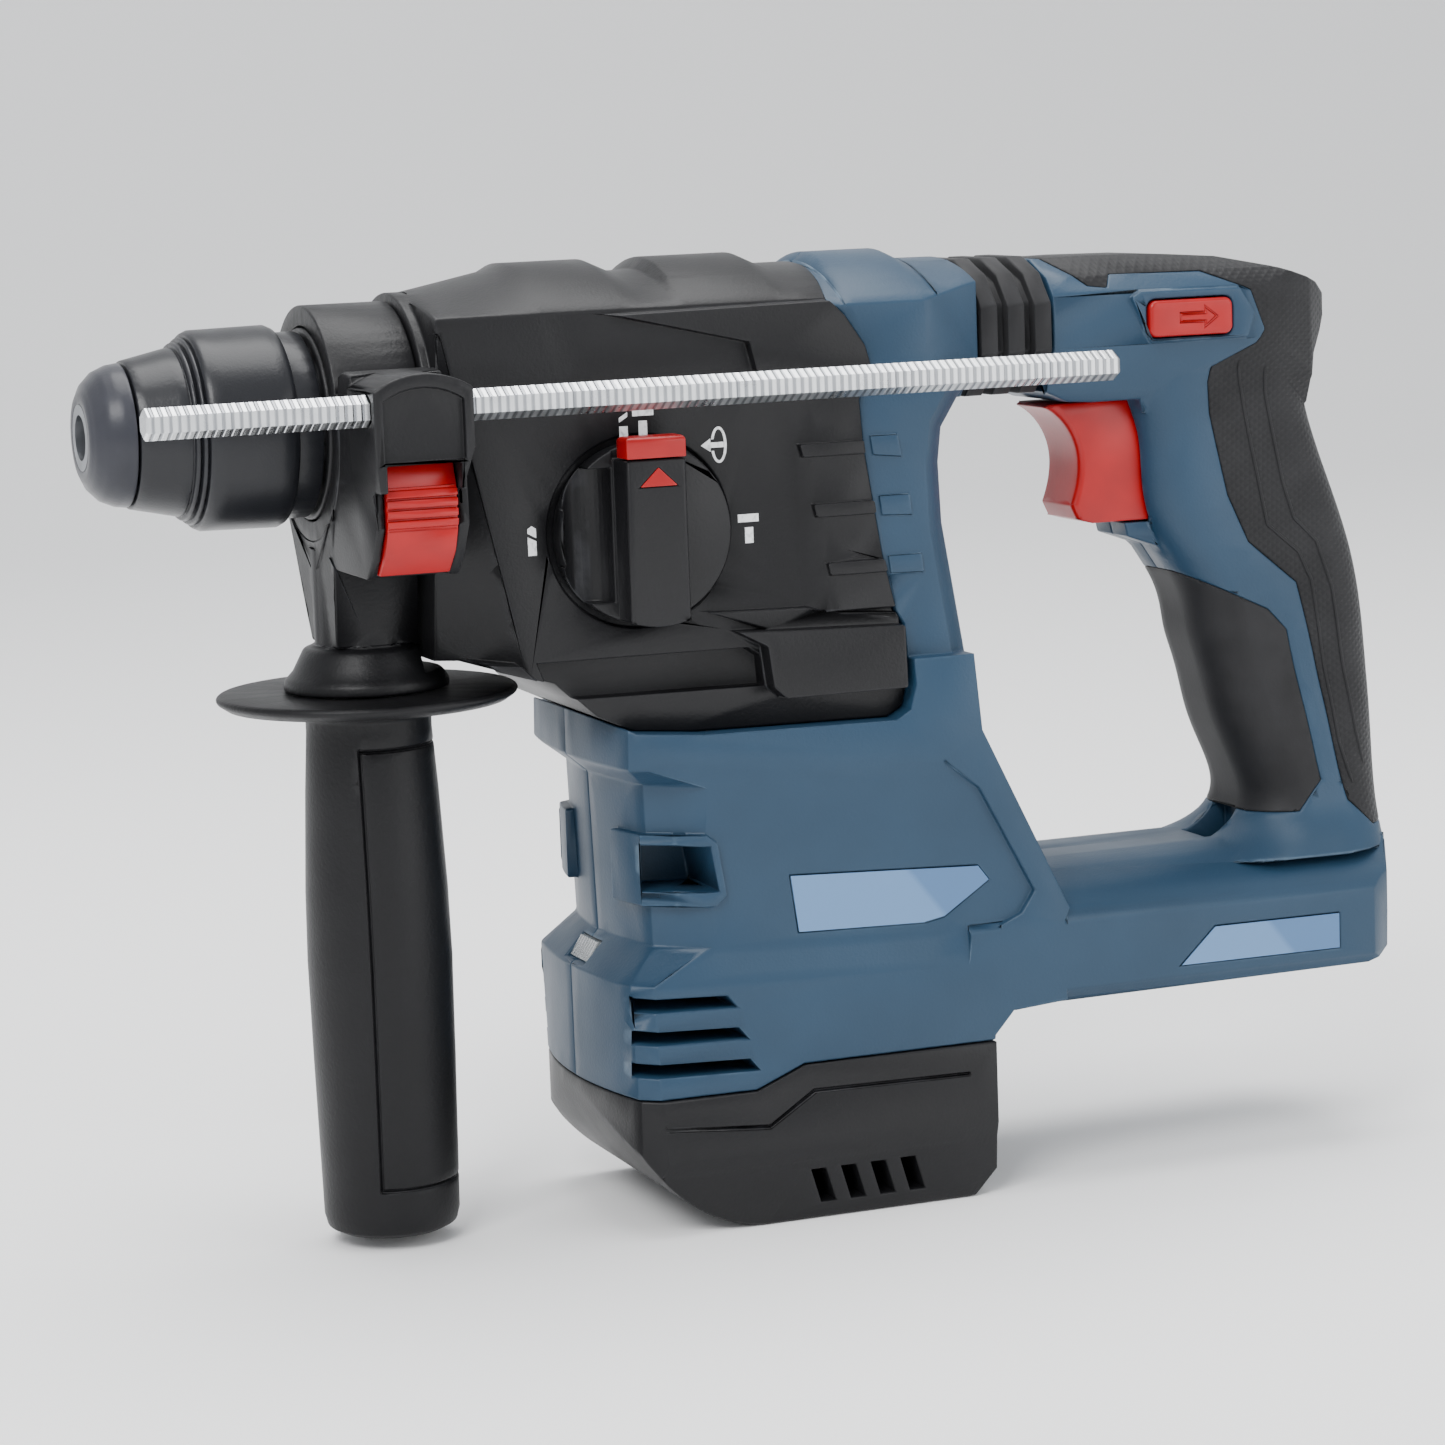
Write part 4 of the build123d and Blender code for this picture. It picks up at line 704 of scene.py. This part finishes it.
# ---------------------------------------------------------------- sub-assemblies
@dataclass
class MotorHousing:
    """Blue shells, their plates, the cap under the motor and the work light.

    Attributes:
        edge_mm: rounding of the moulded edges.
    """

    palette: Palette
    edge_mm: float = 0.5

    def build(self) -> None:
        """Dress the shells and what is fixed to them."""
        dress(self.palette.blue, "housing_left", "housing_right", width_mm=self.edge_mm)
        dress(self.palette.case, "bottom_bumper", width_mm=self.edge_mm)
        dress(self.palette.film, "side_plates", "foot_plates")
        dress(self.palette.lens, "work_light_lens")
        dress(self.palette.board, "work_light_board", "electronics_board")
        dress(self.palette.steel, "housing_screws", "gear_housing_screws")


@dataclass
class GearHousing:
    """Dark gear housing with its printed marks."""

    palette: Palette
    edge_mm: float = 0.5

    def build(self) -> None:
        """Dress the housing, its marks and its bearings."""
        dress(self.palette.case, "gear_housing", width_mm=self.edge_mm)
        dress(self.palette.ink, "mode_marks")
        dress(self.palette.bearing, "front_spindle_bearing", "rear_spindle_bearing",
              "gear_bearings")
        dress(self.palette.nose, "spindle_seal")


@dataclass
class ToolHolder:
    """Tool holder with its sleeve, balls and dust cap."""

    palette: Palette

    def build(self) -> None:
        """Dress the holder."""
        dress(self.palette.steel, "spindle", "spindle_gear", "locking_ring", "sleeve_spring")
        dress(self.palette.bearing, "locking_balls")
        dress(self.palette.sleeve, "locking_sleeve", "sleeve_stop", width_mm=0.3)
        dress(self.palette.nose, "nose_cap", width_mm=0.3)


@dataclass
class ImpactTrain:
    """Piston, rod, striker and anvil inside the spindle."""

    palette: Palette

    def build(self) -> None:
        """Dress the impact train."""
        dress(self.palette.steel, "piston", "connecting_rod", "striker", "beat_piece",
              "crankshaft", "idler_shaft")
        dress(self.palette.bearing, "wrist_pin")
        dress(self.palette.skin, "piston_ring", "striker_ring")


@dataclass
class MotorUnit:
    """Brushless motor with its fan and leads."""

    palette: Palette

    def build(self) -> None:
        """Dress the motor."""
        dress(self.palette.core, "motor_stator")
        dress(self.palette.copper, "motor_windings")
        dress(self.palette.steel, "motor_rotor", "motor_pinion")
        dress(self.palette.bearing, "motor_bearings")
        dress(self.palette.grip, "fan", "terminal_block", "switch_module")
        dress(self.palette.skin, "power_leads")


@dataclass
class Handle:
    """D-handle with its soft skins and its controls.

    Attributes:
        ridges: side-view lines in mm of the raised ridges on the rear skin.
    """

    palette: Palette
    ridges: Sequence[Outline] = (
        ((276.6, 2.6), (277.2, -1.7), (279.4, -12), (282.4, -25), (285.2, -37.6), (293.6, -44.7),
         (297.0, -52), (300.2, -74), (303.2, -92), (307.0, -104)),
        ((284.0, 0.6), (284.3, -5.3), (287.0, -17), (289.6, -28.2), (292.5, -36.5), (298.6, -42.5),
         (302.6, -54), (305.4, -74), (308.2, -90), (311.0, -100)))

    def build(self) -> None:
        """Dress the handle."""
        dress(self.palette.skin, "bellows", "finger_grip_pad", width_mm=0.5)
        dress(self.palette.knurled, "rear_grip_pad", width_mm=0.5)
        for side in (-1, 1):
            for index, line in enumerate(self.ridges):
                lay_bead(f"pad_ridge_{'near' if side < 0 else 'far'}_{index + 1}", line,
                         "rear_grip_pad", side, 0.45, self.palette.skin)
        dress(self.palette.red, "trigger", "direction_button", width_mm=0.35)
        dress(self.palette.steel, "trigger_spring")


@dataclass
class ModeSelector:
    """Turning knob with its catch and arrow."""

    palette: Palette

    def build(self) -> None:
        """Dress the knob."""
        dress(self.palette.case, "mode_knob", width_mm=0.4)
        dress(self.palette.red, "knob_arrow", "knob_lock_button", width_mm=0.2)


@dataclass
class SideHandle:
    """Side handle with the depth rod and its button."""

    palette: Palette

    def build(self) -> None:
        """Dress the side handle."""
        dress(self.palette.case, "clamp_bracket", width_mm=0.5)
        dress(self.palette.grip, "handle_grip", width_mm=0.4)
        dress(self.palette.red, "depth_stop_button", width_mm=0.2)
        dress(self.palette.zinc, "depth_rod")
        dress(self.palette.steel, "clamp_bolt", "grip_nut")


@dataclass
class Studio:
    """Camera, soft lights and a pale paper sweep.

    Attributes:
        camera_place: where the camera stands.
        azimuth_deg: turn of the view round the vertical.
        elevation_deg: height of the view above the horizon.
        roll_deg: turn of the picture.
        lens_mm: focal length on a 36 mm sensor.
        aim: point that the lights face.
        sweep_back: where the paper starts to rise.
        sweep_radius: radius of the rise.
    """

    palette: Palette
    camera_place: Point = (-0.2012, -0.9113, 0.0663)
    azimuth_deg: float = 21.0
    elevation_deg: float = 8.3
    roll_deg: float = 2.1
    lens_mm: float = 104.64
    aim: Point = (0.16, 0.0, -0.07)
    sweep_back: float = 1.6
    sweep_radius: float = 1.2

    def camera(self) -> None:
        """Stand the camera and aim it."""
        a, e, r = (math.radians(v) for v in (self.azimuth_deg, self.elevation_deg,
                                             self.roll_deg))
        right = Vector((math.cos(a), -math.sin(a), 0.0))
        up = Vector((math.sin(a) * math.sin(e), math.cos(a) * math.sin(e), math.cos(e)))
        ahead = Vector((math.sin(a) * math.cos(e), math.cos(a) * math.cos(e), -math.sin(e)))
        x_axis = right * math.cos(r) - up * math.sin(r)
        y_axis = up * math.cos(r) + right * math.sin(r)
        data = bpy.data.cameras.new("studio_camera")
        data.sensor_width = SENSOR_MM
        data.lens = self.lens_mm
        data.clip_start = 0.05
        data.clip_end = 20.0
        camera = bpy.data.objects.new("studio_camera", data)
        bpy.context.scene.collection.objects.link(camera)
        rotation = Matrix((x_axis, y_axis, -ahead)).transposed().to_4x4()
        camera.matrix_world = Matrix.Translation(self.camera_place) @ rotation
        bpy.context.scene.camera = camera

    def light(self, name: str, place: Point, size: float, power: float) -> None:
        """Hang one square soft box.

        Args:
            name: light name.
            place: where it hangs.
            size: side of the box.
            power: watts.
        """
        data = bpy.data.lights.new(name, "AREA")
        data.size = size
        data.energy = power
        lamp = bpy.data.objects.new(name, data)
        bpy.context.scene.collection.objects.link(lamp)
        lamp.location = place
        ahead = Vector(self.aim) - Vector(place)
        lamp.rotation_euler = ahead.to_track_quat("-Z", "Y").to_euler()

    def sweep(self) -> None:
        """Lay the paper floor with its rounded rise at the back."""
        floor_z = CAD_BOX[0][2] - FLOOR_GAP
        mesh = bpy.data.meshes.new("paper_sweep")
        body = bmesh.new()
        back, radius = self.sweep_back, self.sweep_radius
        profile = [(-3.0, floor_z), (back, floor_z)]
        for degrees in range(10, 91, 10):
            turn = math.radians(degrees)
            profile.append((back + radius * math.sin(turn),
                            floor_z + radius * (1 - math.cos(turn))))
        profile.append((back + radius, floor_z + 4.0))
        rows = [[body.verts.new((x, y, z)) for y, z in profile] for x in (-4.0, 4.0)]
        for i in range(len(profile) - 1):
            body.faces.new((rows[0][i], rows[1][i], rows[1][i + 1], rows[0][i + 1]))
        body.to_mesh(mesh)
        body.free()
        for face in mesh.polygons:
            face.use_smooth = True
        sheet = bpy.data.objects.new("paper_sweep", mesh)
        mesh.materials.append(self.palette.paper)
        bpy.context.scene.collection.objects.link(sheet)

    def sky(self) -> None:
        """Fill the room with even pale light."""
        world = bpy.data.worlds.new("studio_air")
        world.use_nodes = True
        background = world.node_tree.nodes["Background"]
        background.inputs["Color"].default_value = linear("#f6f8fb")
        background.inputs["Strength"].default_value = 0.95
        bpy.context.scene.world = world

    def build(self) -> None:
        """Set the studio up."""
        self.camera()
        self.sweep()
        self.sky()
        self.light("key_box", (-0.9, -1.1, 1.3), 0.8, 30.0)
        self.light("top_box", (0.2, 0.15, 1.2), 1.0, 20.0)
        self.light("fill_box", (1.2, -1.2, 0.4), 1.0, 9.0)


def main() -> None:
    """Build the looks piece by piece."""
    logging.basicConfig(level=logging.INFO, format="%(name)s: %(message)s")
    palette = Palette()
    Studio(palette).build()
    for assembly in (MotorHousing(palette), GearHousing(palette), ToolHolder(palette),
                     ImpactTrain(palette), MotorUnit(palette), Handle(palette),
                     ModeSelector(palette), SideHandle(palette)):
        assembly.build()
        LOG.info("finished %s", type(assembly).__name__)


if __name__ == "__main__":
    main()
